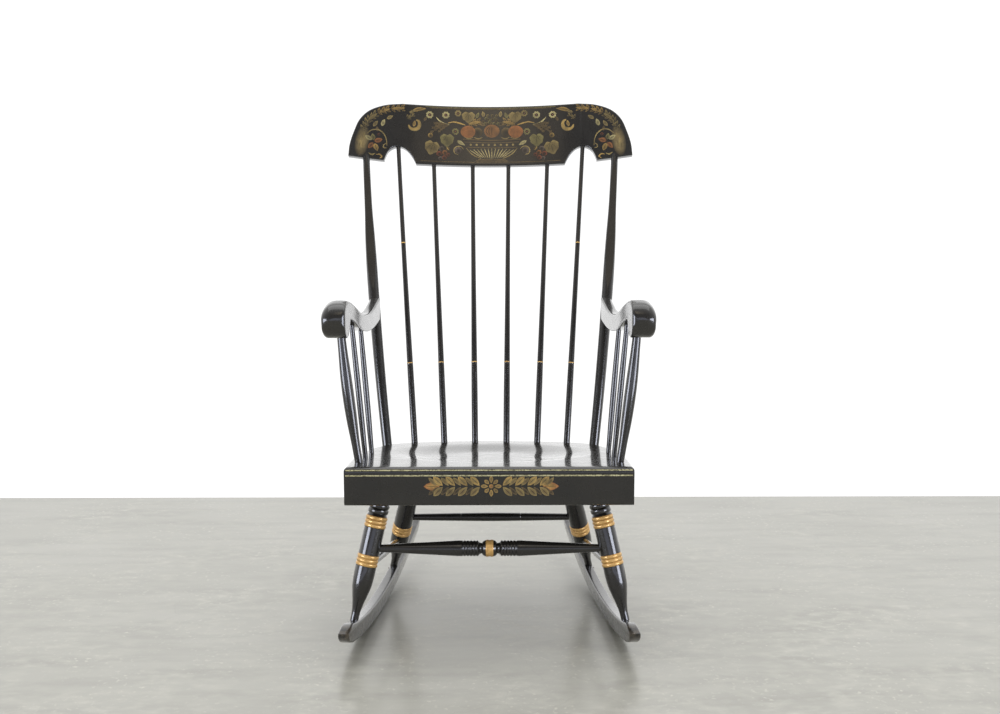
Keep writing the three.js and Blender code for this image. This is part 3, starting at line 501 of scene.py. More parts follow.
def turned(name, foot, head, rings, slot="lacquer", finishes=(LACQUER,), sides=40, bow=(0, 0, 0), flat=None):
    """A piece turned on a lathe from foot to head. rings are (distance, radius, finish of the span)."""
    axis = (head - foot).normalized()
    length = (head - foot).length
    front = Vector((0, -1, 0))
    front = (front - axis * front.dot(axis)).normalized()
    side = axis.cross(front)
    bow = Vector(bow)
    skin, marks = [], []
    flat_steps = sides // 4 if flat else 0
    for distance, radius, mark in rings:
        t = distance / length
        centre = foot + axis * distance + bow * 4 * t * (1 - t)
        # A planed flat keeps its two arrises on the same points of every ring
        arris = math.acos(min(along(flat, t), SHALLOWEST_FLAT)) if flat else 0
        round_steps = sides - flat_steps
        angles = [arris + (2 * math.pi - 2 * arris) * i / round_steps for i in range(round_steps)]
        ring = [(radius * math.cos(a), radius * math.sin(a)) for a in angles]
        if flat:
            ring += [(radius * math.cos(arris), -radius * math.sin(arris) * (1 - 2 * i / flat_steps))
                     for i in range(flat_steps)]
        skin.append([room(*(centre + front * reach + side * offset)) for reach, offset in ring])
        marks.extend([mark] * sides)
    verts, faces = rings_to_faces(skin)
    marks = marks[:(len(rings) - 1) * sides] + [rings[0][2]] * sides + [rings[-1][2]] * sides
    shape_piece(name, verts, faces, finishes, slot, marks)


def plain(points, steps=5):
    """Rings along a fair curve through (distance, radius) points, all in the first finish."""
    return [(p[0], p[1], 0) for p in smooth_line(points, steps)]


def bead(centre, height, low, high, mark=0, steps=8):
    """Rings of one rounded bead."""
    rings = []
    for i in range(steps + 1):
        angle = math.pi * i / steps
        radius = low + (high - low) * math.sin(angle) ** BEAD_FULLNESS
        rings.append((centre - height / 2 * math.cos(angle), radius, mark))
    return rings


def board(outline, thickness, round_over, place, cut_every=None, steps=4):
    """A board sawn to an outline of (across, up), with rounded edges, cut into narrow strips so that it can
    bend, then put in its place."""
    bm = bmesh.new()
    count = len(outline)
    pairs = []
    for i in range(count):
        before, here, after = (Vector(outline[(i + k) % count][:2]) for k in (-1, 0, 1))
        n1 = Vector(((here - before).y, -(here - before).x)).normalized()
        n2 = Vector(((after - here).y, -(after - here).x)).normalized()
        mitre = n1 + n2
        mitre = mitre / max(mitre.dot(n1), SHARPEST_MITRE)
        pairs.append((here, mitre))
    rings = []
    turns = [(k, -1) for k in range(steps + 1)] + [(k, 1) for k in range(steps, -1, -1)]
    for k, face in turns:
        angle = math.pi / 2 * k / steps
        inset = round_over * (1 - math.sin(angle))
        depth = face * (thickness / 2 - round_over * (1 - math.cos(angle)))
        rings.append([bm.verts.new((*(here - mitre * inset), depth)) for here, mitre in pairs])
    for a, b in zip(rings, rings[1:]):
        for i in range(count):
            j = (i + 1) % count
            bm.faces.new((a[i], a[j], b[j], b[i]))
    caps = [bm.faces.new(rings[0][::-1]), bm.faces.new(rings[-1])]
    bm.normal_update()
    bmesh.ops.triangulate(bm, faces=caps, ngon_method="EAR_CLIP")
    if cut_every:
        split_across(bm, cut_every, max(abs(p[0]) for p in outline))
    for vert in bm.verts:
        vert.co = place(vert.co.x, vert.co.y, vert.co.z)
    return bm


def split_across(bm, spacing, reach):
    """Cuts a flat shape into strips along its width, so that it bends evenly."""
    for k in range(-int(reach / spacing), int(reach / spacing) + 1):
        parts = bm.verts[:] + bm.edges[:] + bm.faces[:]
        bmesh.ops.bisect_plane(bm, geom=parts, dist=CUT_GAP, plane_co=(k * spacing, 0, 0), plane_no=(1, 0, 0))


def board_piece(name, bm, sharp=40, finish=LACQUER):
    """Makes a piece of a sawn board."""
    mesh = bpy.data.meshes.new(name)
    bm.to_mesh(mesh)
    bm.free()
    mesh.materials.append(finish)
    settle(name, mesh, sharp)


# Seat

def seat_plank():
    """The dished seat board, its back and sides rounded, its straight front glued to the front rail."""
    half = SEAT_WIDTH / 2
    right = [(half * w, SEAT_DEPTH * d) for w, d in SEAT_OUTLINE]
    left = [(-x, y) for x, y in reversed(right)]
    curve = smooth_line(right + [(0, SEAT_DEPTH)] + left, 12)
    curve = [p for p in curve if p.y > RAIL_DEPTH + PLANK_ROUND / 2]
    rim = [Vector((half, RAIL_DEPTH))] + curve + [Vector((-half, RAIL_DEPTH))]
    outward = []
    for i, p in enumerate(rim):
        a, b = rim[max(i - 1, 0)], rim[min(i + 1, len(rim) - 1)]
        n = Vector(((b - a).y, -(b - a).x)).normalized()
        outward.append(Vector((math.copysign(1, p.x), 0)) if i in (0, len(rim) - 1) else n)
    front_steps = 30
    for i in range(1, front_steps):
        rim.append(Vector((-half + SEAT_WIDTH * i / front_steps, RAIL_DEPTH)))
        outward.append(None)

    def top(x, y):
        away = math.hypot(x / (DISH_WIDTH / 2), (y - DISH_BACK) / (DISH_LENGTH / 2))
        # The dish falls away softly from its rim and is nearly flat in its middle
        return -DISH_DEPTH * eased((DISH_RIM - away) / (DISH_RIM - DISH_FLAT))

    centre = Vector((0, DISH_BACK))
    rings = []
    inner = [p - (n or Vector((0, 0))) * PLANK_ROUND for p, n in zip(rim, outward)]
    inner = [Vector((min(max(p.x, PLANK_ROUND - half), half - PLANK_ROUND), p.y)) for p in inner]
    innermost, steps = 0.03, 34
    for k in range(steps + 1):
        ring = [centre.lerp(p, innermost + (1 - innermost) * k / steps) for p in inner]
        rings.append([seat_room(p.x, p.y, top(p.x, p.y)) for p in ring])
    rounds = 6
    for face in (1, -1):
        for k in range(rounds + 1):
            angle = math.pi / 2 * (k / rounds if face > 0 else 1 - k / rounds)
            drop = PLANK_ROUND * (1 - math.cos(angle))
            z = -drop if face > 0 else drop - PLANK_THICKNESS
            ring = [p.lerp(q, math.sin(angle)) for p, q in zip(inner, rim)]
            rings.append([seat_room(p.x, p.y, z) for p in ring])
    rings.append([seat_room(*centre.lerp(p, innermost), -PLANK_THICKNESS) for p in inner])
    shape_piece("seat_plank", *rings_to_faces(rings), sharp=50)


def front_rail():
    """The deep front edge of the seat, with a rolled top, an upright face and rounded ends."""
    lean = RAIL_HEIGHT * math.tan(SEAT_TILT)
    slope = math.tan(SEAT_TILT)
    profile = [Vector((RAIL_DEPTH, 0)), Vector((RAIL_DEPTH, -RAIL_HEIGHT)),
               Vector((lean + RAIL_FOOT_ROUND, -RAIL_HEIGHT))]
    curve_to(profile, (lean, -RAIL_HEIGHT), (lean - RAIL_FOOT_ROUND * slope, RAIL_FOOT_ROUND - RAIL_HEIGHT))
    face_steps = 6
    start, rise = profile[-1], Vector((RAIL_TOP_ROUND * slope, -RAIL_TOP_ROUND))
    profile.extend(start.lerp(rise, k / face_steps) for k in range(1, face_steps + 1))
    curve_to(profile, (0, 0), (RAIL_TOP_ROUND, 0), 12)
    profile.append(Vector((RAIL_DEPTH - 1, 0)))
    half, steps, round_steps = SEAT_WIDTH / 2, 12, 8
    end = [half - PLANK_ROUND + PLANK_ROUND * math.sin(math.pi / 2 * k / round_steps)
           for k in range(round_steps + 1)]
    middle = [k * (half - PLANK_ROUND) / steps for k in range(1 - steps, steps)]
    stations = [-x for x in reversed(end)] + middle + end
    rings = []
    for x in stations:
        past = max(abs(x) - (half - PLANK_ROUND), 0)
        drop = PLANK_ROUND - math.sqrt(max(PLANK_ROUND ** 2 - past ** 2, 0))
        rings.append([seat_room(x, p.x, min(p.y, -drop)) for p in profile])
    shape_piece("front_rail", *rings_to_faces(rings), sharp=50)


# Legs, rockers and stretchers

def rocker_layout(side, y, z, depth):
    """A place in a rocker's board, toed in and canted."""
    return room(side * (ROCKER_SPREAD - TOE_IN * y - ROCKER_CANT * z) + depth, y, z)


def rocker(side):
    """A rocker sawn from a board to a long arc, toed in and leaning with the legs."""
    facets_before, facets_behind = 6.5, 9.5
    first = ROCKER_CONTACT - facets_before * ROCKER_FACET
    last = ROCKER_CONTACT + facets_behind * ROCKER_FACET
    steps = 64
    line = [Vector((y, max(rocker_under(y), FLAT_SAG)))
            for y in (first + (last - first) * k / steps for k in range(steps + 1))]
    tail_mid = rocker_under(ROCKER_TAIL) + ROCKER_TAIL_HEIGHT / 2
    curve_to(line, (ROCKER_TAIL, rocker_under(ROCKER_TAIL)), (ROCKER_TAIL, tail_mid))
    curve_to(line, (ROCKER_TAIL, tail_mid + ROCKER_TAIL_HEIGHT / 2),
             (last, line[steps].y + ROCKER_TAIL_HEIGHT))
    for k in range(steps - 1, -1, -1):
        y = first + (last - first) * k / steps
        t = max(0, (y - ROCKER_CONTACT) / (ROCKER_TAIL - ROCKER_CONTACT))
        line.append(Vector((y, rocker_top(y) - t * t * (ROCKER_HEIGHT - ROCKER_TAIL_HEIGHT))))
    nose_mid = rocker_under(ROCKER_NOSE) + ROCKER_HEIGHT / 2 + NOSE_RISE
    curve_to(line, ((first + ROCKER_NOSE) / 2, rocker_top(first) + 2 * NOSE_LIFT),
             (ROCKER_NOSE, nose_mid), 12)
    curve_to(line, (ROCKER_NOSE, rocker_under(ROCKER_NOSE) + NOSE_RISE), line[0], 12)
    line.pop()
    bm = board(line, ROCKER_THICKNESS, ROCKER_ROUND, partial(rocker_layout, side))
    board_piece(f"rocker_{hand(side)}", bm, finish=SCUFFED_LACQUER)


def hand(side):
    """The sitter's side that a piece is on, for its name."""
    return "left" if side > 0 else "right"


def leg_line(side, leg):
    """A leg's axis from the foot of its lower tenon to the head of its upper one."""
    (top_x, top_y), (foot_x, foot_y) = leg
    head = Vector((side * top_x, top_y, seat_under(top_y)))
    foot = Vector((side * foot_x, foot_y, rocker_top(foot_y)))
    return lengthen(foot, head, LEG_FOOT_TENON, LEG_SEAT_TENON)


def leg(name, side, line, bands, beads):
    """A turned leg with gilt triple beads, black beads under the seat and a tapered foot."""
    foot, head = leg_line(side, line)
    length = (head - foot).length
    start = length - LEG_SEAT_TENON
    lowest = start - max(bands) - BAND_HEIGHT / 2
    taper = lowest - LEG_FOOT_TENON
    points = [(LEG_FOOT_TENON, LEG_NECK_RADIUS)]
    points += [(lowest - t * taper, LEG_RADIUS * r) for t, r in reversed(LEG_TAPER)] + [(lowest, LEG_RADIUS)]
    rings = [(0, LEG_NECK_RADIUS, 0)] + plain(points, 6)
    height = BAND_HEIGHT / 3
    for drop in sorted(bands, reverse=True):
        centre = start - drop
        rings.append((centre - BAND_HEIGHT / 2 - BAND_EDGE, LEG_RADIUS, 0))
        for k in (-1, 0, 1):
            rings += bead(centre + k * height, height, BAND_GROOVE, BAND_RADIUS, 1, 10)
        rings.append((centre + BAND_HEIGHT / 2 + BAND_EDGE, LEG_RADIUS, 0))
    for drop in sorted(beads, reverse=True):
        rings += bead(start - drop, BEAD_HEIGHT, BEAD_GROOVE, BEAD_RADIUS)
    top = BEAD_HEIGHT - min(beads) if beads else 2 * BAND_HEIGHT - min(bands)
    below, thinner = FRONT_NECK if beads else REAR_NECK
    rings += plain([(start + top, LEG_RADIUS), (start - below, LEG_RADIUS - thinner),
                    (start - NECK_END, LEG_TOP_RADIUS)])
    rings.append((length, LEG_TOP_RADIUS, 0))
    turned(name, foot, head, rings, "bronze_bands", (LACQUER, BRONZE), 48)


def on_leg(side, line, height):
    """A place on a leg's axis, at a height."""
    foot, head = leg_line(side, line)
    return foot.lerp(head, (height - foot.z) / (head.z - foot.z))


def stretcher(name, a, b, ring_maker, finishes=(LACQUER,)):
    """A stretcher between places on two legs' axes, its tenons sunk in both."""
    inset = LEG_RADIUS - STRETCHER_TENON
    foot, head = lengthen(a, b, -inset, -inset)
    turned(name, foot, head, ring_maker((head - foot).length), finishes=finishes, sides=36)


def plain_stretcher(end, swell, scores=()):
    """Rings of a stretcher that swells to its middle, with thin scored lines."""
    def rings(length):
        between, way = (end + 2 * swell) / 3, length * 0.3
        points = [(STRETCHER_TENON, end), (way, between), (length / 2, swell),
                  (length - way, between), (length - STRETCHER_TENON, end)]
        line = [(0, end, 0)] + plain(points, 8) + [(length, end, 0)]
        for offset in scores:
            at = length / 2 + offset
            radius = next(r for d, r, _ in line if d >= at)
            line += [(at - SCORE_HALF, radius, 0), (at, radius - SCORE_DEPTH, 0),
                     (at + SCORE_HALF, radius, 0)]
        return sorted(line)
    return rings


def front_stretcher_rings(length):
    """A gilt ball between two necks, then scored grooves on each swelling."""
    mid, end, swell = length / 2, FRONT_STRETCHER_END, FRONT_STRETCHER_SWELL
    half = plain([(mid, end), (mid - STRETCHER_TENON, end), (mid * 0.6, FRONT_STRETCHER_WAIST),
                  (SWELL_START, swell)], 8)
    for k in range(GROOVES, 0, -1):
        at = GROOVE_START + GROOVE_PITCH * k
        half += [(at + d, r, 0) for d, r in GROOVE_PROFILE]
    half += plain(NECK_PROFILE, 4) + [(d, r, 0) for d, r in BALL_PROFILE]
    band = [(d, r, 1) for d, r in BALL_BAND_PROFILE]
    near = [(mid - d, r, m) for d, r, m in half + band]
    far = [(mid + d, r, 1 if d < band[0][0] else 0) for d, r, m in reversed(half + band[1:])]
    return near + far


# Back and arms

def crest_rail():
    """The shaped crest: rounded ears, a notch beside each and a long straight middle."""
    shoulder = [(CREST_HALF * w, CREST_HEIGHT * h) for w, h in CREST_SHOULDER]
    ear = smooth_line([(CREST_HALF, CREST_EAR_RISE)] + shoulder, 7)
    foot = CREST_EAR_RISE / 2
    notch = [(NOTCH_INNER + w * (NOTCH_PEAK - NOTCH_INNER), NOTCH_DEPTH * h) for w, h in NOTCH_INNER_LINE]
    notch += [(NOTCH_PEAK + w * (NOTCH_OUTER - NOTCH_PEAK), foot + (NOTCH_DEPTH - foot) * h)
              for w, h in NOTCH_OUTER_LINE]
    half = smooth_line(notch, 4) + ear
    outline = half + [Vector((-p.x, p.y)) for p in reversed(half)]
    board_piece("crest_rail", board(outline, CREST_THICKNESS, CREST_ROUND, crest_room, 6), 45)


def post_line(side):
    """A back post's straight axis, with the tenons in the seat and in the crest's ear."""
    foot = Vector((side * POST_FOOT[0], POST_FOOT[1], seat_top(POST_FOOT[1])))
    return lengthen(foot, crest_layout(side * POST_HEAD, CREST_EAR_RISE), *POST_TENONS)


def post_centre(z):
    """The middle of the left post at a height."""
    foot, head = post_line(1)
    t = (z - foot.z) / (head.z - foot.z)
    return foot.lerp(head, t) + Vector((*POST_BOW, 0)) * 4 * t * (1 - t)


def back_post(side):
    """A turned post, planed flat in front between the arm and the crest."""
    foot, head = post_line(side)
    length = (head - foot).length
    clear = length - sum(POST_TENONS)
    points = [(POST_TENONS[0], POST_FOOT_RADIUS)]
    points += [(POST_TENONS[0] + t * clear, POST_BELLY * r) for t, r in POST_PROFILE]
    points.append((length - POST_TENONS[1], POST_HEAD_RADIUS))
    rings = [(0, POST_FOOT_RADIUS, 0)] + plain(points, 12) + [(length, POST_HEAD_RADIUS, 0)]
    turned(f"back_post_{hand(side)}", foot, head, rings, sides=52, bow=(side * POST_BOW[0], POST_BOW[1], 0),
           flat=smooth_line(POST_FLAT, 8))


def back_spindle(side, i):
    """A slim spindle with narrow gold rings: one on each, and a second on the outer ones."""
    x, y = SPINDLE_FEET[i]
    foot = Vector((side * x, y, seat_top(y)))
    outer = i == len(SPINDLE_FEET) - 1
    head = crest_layout(side * SPINDLE_HEADS[i], NOTCH_DEPTH if outer else 0)
    foot, head = lengthen(foot, head, SPINDLE_TENON, SPINDLE_TENON)
    length = (head - foot).length
    clear = length - 2 * SPINDLE_TENON
    points = [(SPINDLE_TENON, SPINDLE_FOOT_RADIUS)]
    points += [(SPINDLE_TENON + t * clear, SPINDLE_FOOT_RADIUS * r) for t, r in SPINDLE_PROFILE]
    points.append((length - SPINDLE_TENON, SPINDLE_HEAD_RADIUS))
    rings = [(0, SPINDLE_FOOT_RADIUS, 0)] + plain(points, 8) + [(length, SPINDLE_HEAD_RADIUS, 0)]
    for height in SPINDLE_RINGS if outer else SPINDLE_RINGS[:1]:
        at = (height - foot.z) / (head.z - foot.z) * length
        radius = next(r for d, r, _ in rings if d >= at)
        edge, proud = RING_HALF + RING_EDGE, radius + RING_PROUD
        rings += [(at - edge, radius, 0), (at - RING_HALF, proud, 1), (at + RING_HALF, proud, 0),
                  (at + edge, radius, 0)]
    place = ["inner", "middle", "outer"][i]
    turned(f"back_spindle_{place}_{hand(side)}", foot, head, sorted(rings), finishes=(LACQUER, GOLD_RING),
           sides=28, bow=(0, SPINDLE_BOW, 0))


def arm_edge(line, t):
    """Height of the arm's edge line at a share of its length, from a smoothed line."""
    for a, b in zip(line, line[1:]):
        low, high = sorted((a.x, b.x))
        if low <= t <= high:
            return a.y + (b.y - a.y) * ((t - a.x) / (b.x - a.x) if b.x != a.x else 0)
    return min(line, key=lambda p: abs(p.x - t)).y


def arm_height(share):
    """A height above the floor, from a share of the arm's depth at its scroll."""
    return ARM_UNDER + share * (ARM_TOP - ARM_UNDER)


def arm_end(z):
    """How far back the arm's end comes at a height: a little way into the leaning post."""
    return post_centre(z).y - POST_BELLY + ARM_BITE


ARM_END = post_centre((arm_height(ARM_TOP_LINE[0][1]) + arm_height(ARM_UNDER_LINE[-1][1])) / 2)
ARM_LENGTH = arm_end(ARM_END.z) - ARM_FRONT
ARM_INNER_BACK = ARM_END.x - ARM_BACK_WIDTH / 2
ARM_OUTER_BACK = ARM_INNER_BACK + ARM_BACK_WIDTH


def arm_inner(t):
    """The arm's inner side at a share of its length."""
    return ARM_INNER_FRONT + (ARM_INNER_BACK - ARM_INNER_FRONT) * t


def arm_outer(share):
    """The arm's outer side: 0 where it meets the post, 1 at the scroll."""
    return ARM_OUTER_BACK + (ARM_INNER_FRONT + ARM_FRONT_WIDTH - ARM_OUTER_BACK) * share


def pillow(width, tall, radii, dome, draw_in, steps=8, side_steps=6):
    """One cross-section of an arm, from (0, 0) at its inner foot: four rounded corners, a domed top and an
    outer side that draws in towards its foot."""
    corners = [(width, tall, -1, -1), (0, tall, 1, -1), (0, 0, 1, 1), (width, 0, -1, 1)]

    def on_corner(k, quarters):
        x, z, dx, dz = corners[k % 4]
        radius = min(radii[k % 4], WIDEST_ROUND * width, TALLEST_ROUND * tall)
        a = math.pi / 2 * quarters
        return x + radius * (dx + math.cos(a)), z + radius * (dz + math.sin(a))

    ring = []
    for k in range(4):
        ring += [on_corner(k, k + step / steps) for step in range(steps + 1)]
        # Points between this corner and the next keep the long edges smooth
        start, end = Vector(ring[-1]), Vector(on_corner(k + 1, k + 1))
        ring += [tuple(start.lerp(end, i / side_steps)) for i in range(1, side_steps)]
    shaped = []
    for x, z in ring:
        w, h = x / width, z / tall
        # The dome is highest a little inside the middle
        z -= dome * ((w - DOME_PEAK) / (1 - DOME_PEAK)) ** 2 * h * h
        x -= draw_in * w * (1 - h) ** 2
        shaped.append((x, z))
    return shaped


def barrel(t, reach, depth):
    """How far a side of the scroll draws in near its front."""
    near = max(depth - t * ARM_LENGTH, 0) / depth
    return reach * (1 - math.sqrt(max(1 - near * near, 0)))


def arm(side):
    """An arm with a pillowed scroll in front, a dip for the elbow and a flat inner side."""
    scroll = smooth_line([ARM_TOP_LINE[-1]] + ARM_SCROLL, 12)
    tip = min(range(len(scroll)), key=lambda k: scroll[k].x)
    upper = scroll[:tip + 1][::-1] + smooth_line(ARM_TOP_LINE, 10)[::-1][1:]
    lower = scroll[tip:] + smooth_line([ARM_SCROLL[-1]] + ARM_UNDER_LINE, 10)[1:]
    # Sections crowd together at the scroll's front and where its underside ends, and are even behind
    stations = [0.0004, 0.0015, 0.004, 0.008, 0.013, 0.02, 0.028, 0.037, 0.048, 0.06, 0.072, 0.084, 0.096,
                0.106, 0.114, 0.121, 0.127, 0.131, 0.134, 0.137, 0.141, 0.148, 0.158, 0.17]
    bar_start, bar_steps = 0.19, 44
    stations += [bar_start + (1 - bar_start) * k / bar_steps for k in range(bar_steps + 1)]
    outer_line = smooth_line(ARM_OUTER_LINE, 8)
    rings = []
    for t in stations:
        y = ARM_FRONT + t * ARM_LENGTH
        top, under = arm_height(arm_edge(upper, t)), arm_height(arm_edge(lower, t))
        inner, outer = arm_inner(t), arm_outer(arm_edge(outer_line, t))
        # The scroll's front is a shallow barrel in plan, fuller towards its outer side
        inner += barrel(t, *BARREL_INNER)
        outer -= barrel(t, *BARREL_OUTER)
        # The scroll is a fat pillow; behind it the arm thins to a bar with eased edges
        share = eased((t - SCROLL_TO_BAR[0]) / (SCROLL_TO_BAR[1] - SCROLL_TO_BAR[0]))
        radii = [a + (b - a) * share for a, b in zip(SCROLL_RADII, BAR_RADII)]
        lean = max((t - BAR_LEAN[0]) / (BAR_LEAN[1] - BAR_LEAN[0]), 0)
        section = pillow(outer - inner, top - under, radii, SCROLL_DOME * (1 - share),
                         SCROLL_DRAW_IN * (1 - share))
        rings.append([room(side * (inner + x), y + lean * (arm_end(under + z) - arm_end(ARM_END.z)),
                           under + z) for x, z in section])
    shape_piece(f"arm_{hand(side)}", *rings_to_faces(rings), sharp=60)


def under_arm(side, place):
    """A place on the arm's underside: a share of its width there, and of its length."""
    width_share, t = place
    inner = arm_inner(t)
    width = arm_outer(along(ARM_OUTER_LINE, t)) - inner
    return Vector((side * (inner + width_share * width), ARM_FRONT + t * ARM_LENGTH,
                   arm_height(along(ARM_UNDER_LINE, t))))


def arm_post(side):
    """The turned post under the scroll, bellied and bowed outwards."""
    x, y = ARM_POST_FOOT
    foot, head = lengthen(Vector((side * x, y, seat_top(y))), under_arm(side, ARM_POST_HEAD), ARM_SEAT_TENON,
                          ARM_TENON)
    length = (head - foot).length
    clear = length - ARM_SEAT_TENON - ARM_TENON
    points = [(ARM_SEAT_TENON, ARM_POST_RADIUS)]
    points += [(ARM_SEAT_TENON + t * clear, ARM_POST_RADIUS + r * (ARM_POST_BELLY - ARM_POST_RADIUS))
               for t, r in ARM_POST_PROFILE]
    points.append((length - ARM_TENON, ARM_POST_RADIUS))
    rings = [(0, ARM_POST_RADIUS, 0)] + plain(points, 8) + [(length, ARM_POST_RADIUS, 0)]
    turned(f"arm_post_{hand(side)}", foot, head, rings, sides=36, bow=(side * ARM_POST_BOW, 0, 0))


def arm_spindle(side, i):
    """A plain slim spindle under the arm."""
    x, y = ARM_SPINDLE_FEET[i]
    foot, head = lengthen(Vector((side * x, y, seat_top(y))), under_arm(side, ARM_SPINDLE_HEADS[i]),
                          ARM_SEAT_TENON, ARM_TENON)
    length = (head - foot).length
    points = [(ARM_SEAT_TENON, ARM_SPINDLE_RADIUS)]
    points += [(length * share, ARM_SPINDLE_BELLY) for share in ARM_SPINDLE_BELLY_SHARES]
    points.append((length - ARM_TENON, ARM_SPINDLE_RADIUS))
    rings = [(0, ARM_SPINDLE_RADIUS, 0)] + plain(points, 8) + [(length, ARM_SPINDLE_RADIUS, 0)]
    turned(f"arm_spindle_{['front', 'rear'][i]}_{hand(side)}", foot, head, rings, sides=24)


# Painted ornament

GOLD, PALE, OLIVE = colour("#ae8e4e"), colour("#bdb07a"), colour("#837a4a")
COPPER, RED, BROWN = colour("#a2683a"), colour("#8a4a32"), colour("#6a5838")
TAN, MAUVE, SHADE = colour("#93804f"), colour("#74655c"), colour("#1d1b17")
PAINT_THICKNESS, FILM_SHARE = 0.1, 0.9
LAYER_STEP, LAYERS = 0.012, 12
RING_SHARES, GLOW_FALL, SHADED, LIT = (1, 0.8, 0.56, 0.3), 1.5, 0.6, 0.4
STROKE_END, VEINED_WIDTH = 0.12, 8
FRUIT_HEIGHT, FRUIT_FURROWS = 0.86, (-0.74, -0.4, 0, 0.4, 0.74)
# Places of the paint: the basket's middle, the flower on the front rail and the two lines over it,
# each with its height above the floor and its width
BASKET_MIDDLE = 3
SEAT_STENCIL_X, SEAT_STENCIL_Z = 4, 337
PINSTRIPES = (("seat_pinstripe_upper", 368.2, 2.4), ("seat_pinstripe_lower", 357.8, 2.6))
STRIPE_INSET = 3


class Ornament:
    """Flat painted shapes gathered on one board face, then laid on it as a thin film."""

    def __init__(self):
        self.verts, self.faces, self.tints, self.layer = [], [], [], 0

    def add_layer(self, marks):
        """Adds points of one shape, each ((x, z), tint), a little over the shape before it."""
        first = len(self.verts)
        self.layer += 1
        depth = -PAINT_THICKNESS - LAYER_STEP * (self.layer % LAYERS)
        self.verts.extend((x, z, depth) for (x, z), tint in marks)
        self.tints.extend(tint for place, tint in marks)
        return first

    def bloom(self, rim, centre, tint, middle=SHADE, lit=None):
        """A shape rubbed in through a stencil: bright at its rim, more so towards lit, and dark inside."""
        centre = Vector(centre)
        marks = []
        for share in RING_SHARES:
            for point in rim:
                away = Vector(point) - centre
                glow = share ** GLOW_FALL
                if lit:
                    glow *= SHADED + LIT * away.normalized().dot(Vector(lit).normalized())
                marks.append((tuple(centre + away * share), mixed(middle, tint, glow)))
        marks.append((tuple(centre), middle))
        first, count = self.add_layer(marks), len(rim)
        for k in range(len(RING_SHARES)):
            outer, inner = first + k * count, first + (k + 1) * count
            for i in range(count):
                j = (i + 1) % count
                if k < len(RING_SHARES) - 1:
                    self.faces.append([outer + i, outer + j, inner + j, inner + i])
                else:
                    self.faces.append([outer + i, outer + j, inner])

    def disc(self, x, z, radius, tint, middle=SHADE, lit=(-0.6, 0.8), count=16):
        """A round dot, grape or berry."""
        self.bloom(oval((x, z), radius, radius, count), (x, z), tint, middle, lit)

    def leaf(self, x, z, angle, length, width, tint, middle=None, lit=None, bend=0.0):
        """A pointed leaf about its middle at x, z. bend curves its tip aside, as a share of its length."""
        turn, steps = math.radians(angle), 8
        rim = []
        for side in (-1, 1):
            for k in range(steps):
                t = k / steps if side < 0 else 1 - k / steps
                half = side * width / 2 * math.sin(math.pi * t ** 0.85) ** 0.85
                aside = bend * length * (2 * t - 1) ** 2
                rim.append(self.turned(x, z, turn, length * (t - 0.5), half + aside))
        centre = self.turned(x, z, turn, -0.06 * length, 0)
        self.bloom(rim, centre, tint, middle or mixed(SHADE, tint, 0.4), lit)
        if width > VEINED_WIDTH:
            vein = [self.turned(x, z, turn, length * t, bend * length * 4 * t * t) for t in (-0.42, 0, 0.3)]
            self.stroke(vein, 1.0, SHADE)

    def acanthus(self, x, z, angle, length, width, tint, lobes=3):
        """A scrolling leaf with pointed lobes along both sides, longer on its outer side."""
        turn = math.radians(angle)
        for k in range(lobes):
            t = (k + 0.4) / lobes - 0.5
            at = self.turned(x, z, turn, length * t, width * 0.24)
            long = width * (0.8 + 0.15 * k)
            self.leaf(*at, angle + 58 - 10 * k, long, width * 0.36, tint, SHADE, (-0.3, 1))
            at = self.turned(x, z, turn, length * t, -width * 0.26)
            self.leaf(*at, angle - 52 + 8 * k, width * 0.75, width * 0.3, mixed(SHADE, tint, 0.55), SHADE)
        self.leaf(x, z, angle, length, width * 0.42, tint, lit=(0, 1))

    @staticmethod
    def turned(x, z, turn, u, v):
        """A place u along and v aside of x, z, turned by an angle."""
        return (x + u * math.cos(turn) - v * math.sin(turn), z + u * math.sin(turn) + v * math.cos(turn))

    def stroke(self, points, width, tint, edge=None, taper=True):
        """A brushed line through points, thin at its ends, its sides in edge if that is given."""
        line = smooth_line(points, 5)
        marks = []
        for i, p in enumerate(line):
            a, b = line[max(i - 1, 0)], line[min(i + 1, len(line) - 1)]
            n = Vector((-(b - a).y, (b - a).x)).normalized()
            t = i / (len(line) - 1)
            thin = math.sin(math.pi * (STROKE_END + (1 - 2 * STROKE_END) * t)) if taper else 1
            marks += [(tuple(p + n * share * thin * width / 2), tint if share == 0 else edge or tint)
                      for share in (1, 0, -1)]
        first = self.add_layer(marks)
        for i in range(len(line) - 1):
            k = first + 3 * i
            self.faces += [[k, k + 1, k + 4, k + 3], [k + 1, k + 2, k + 5, k + 4]]

    def ring_flower(self, x, z, radius, tint, petals=8):
        """A flower of separate round petals about a dark middle with a small red eye."""
        for k in range(petals):
            a = 2 * math.pi * (k + 0.5) / petals
            self.disc(x + radius * 0.72 * math.cos(a), z + radius * 0.72 * math.sin(a), radius * 0.3, tint,
                      mixed(SHADE, tint, 0.6), None, 8)
        self.disc(x, z, radius * 0.2, RED, BROWN, None, 8)

    def striped_fruit(self, x, z, radius, tint):
        """A broad ripe fruit, lit from above, with dark furrows that meet at its top and foot."""
        tall = FRUIT_HEIGHT * radius
        self.bloom(oval((x, z), radius, tall, 24), (x, z), tint, mixed(SHADE, tint, 0.6), (0, 1))
        for share in FRUIT_FURROWS:
            near, far = x + share * radius * 0.3, x + share * radius
            self.stroke([(near, z + 0.88 * tall), (far, z), (near, z - 0.88 * tall)], 1.5, SHADE)

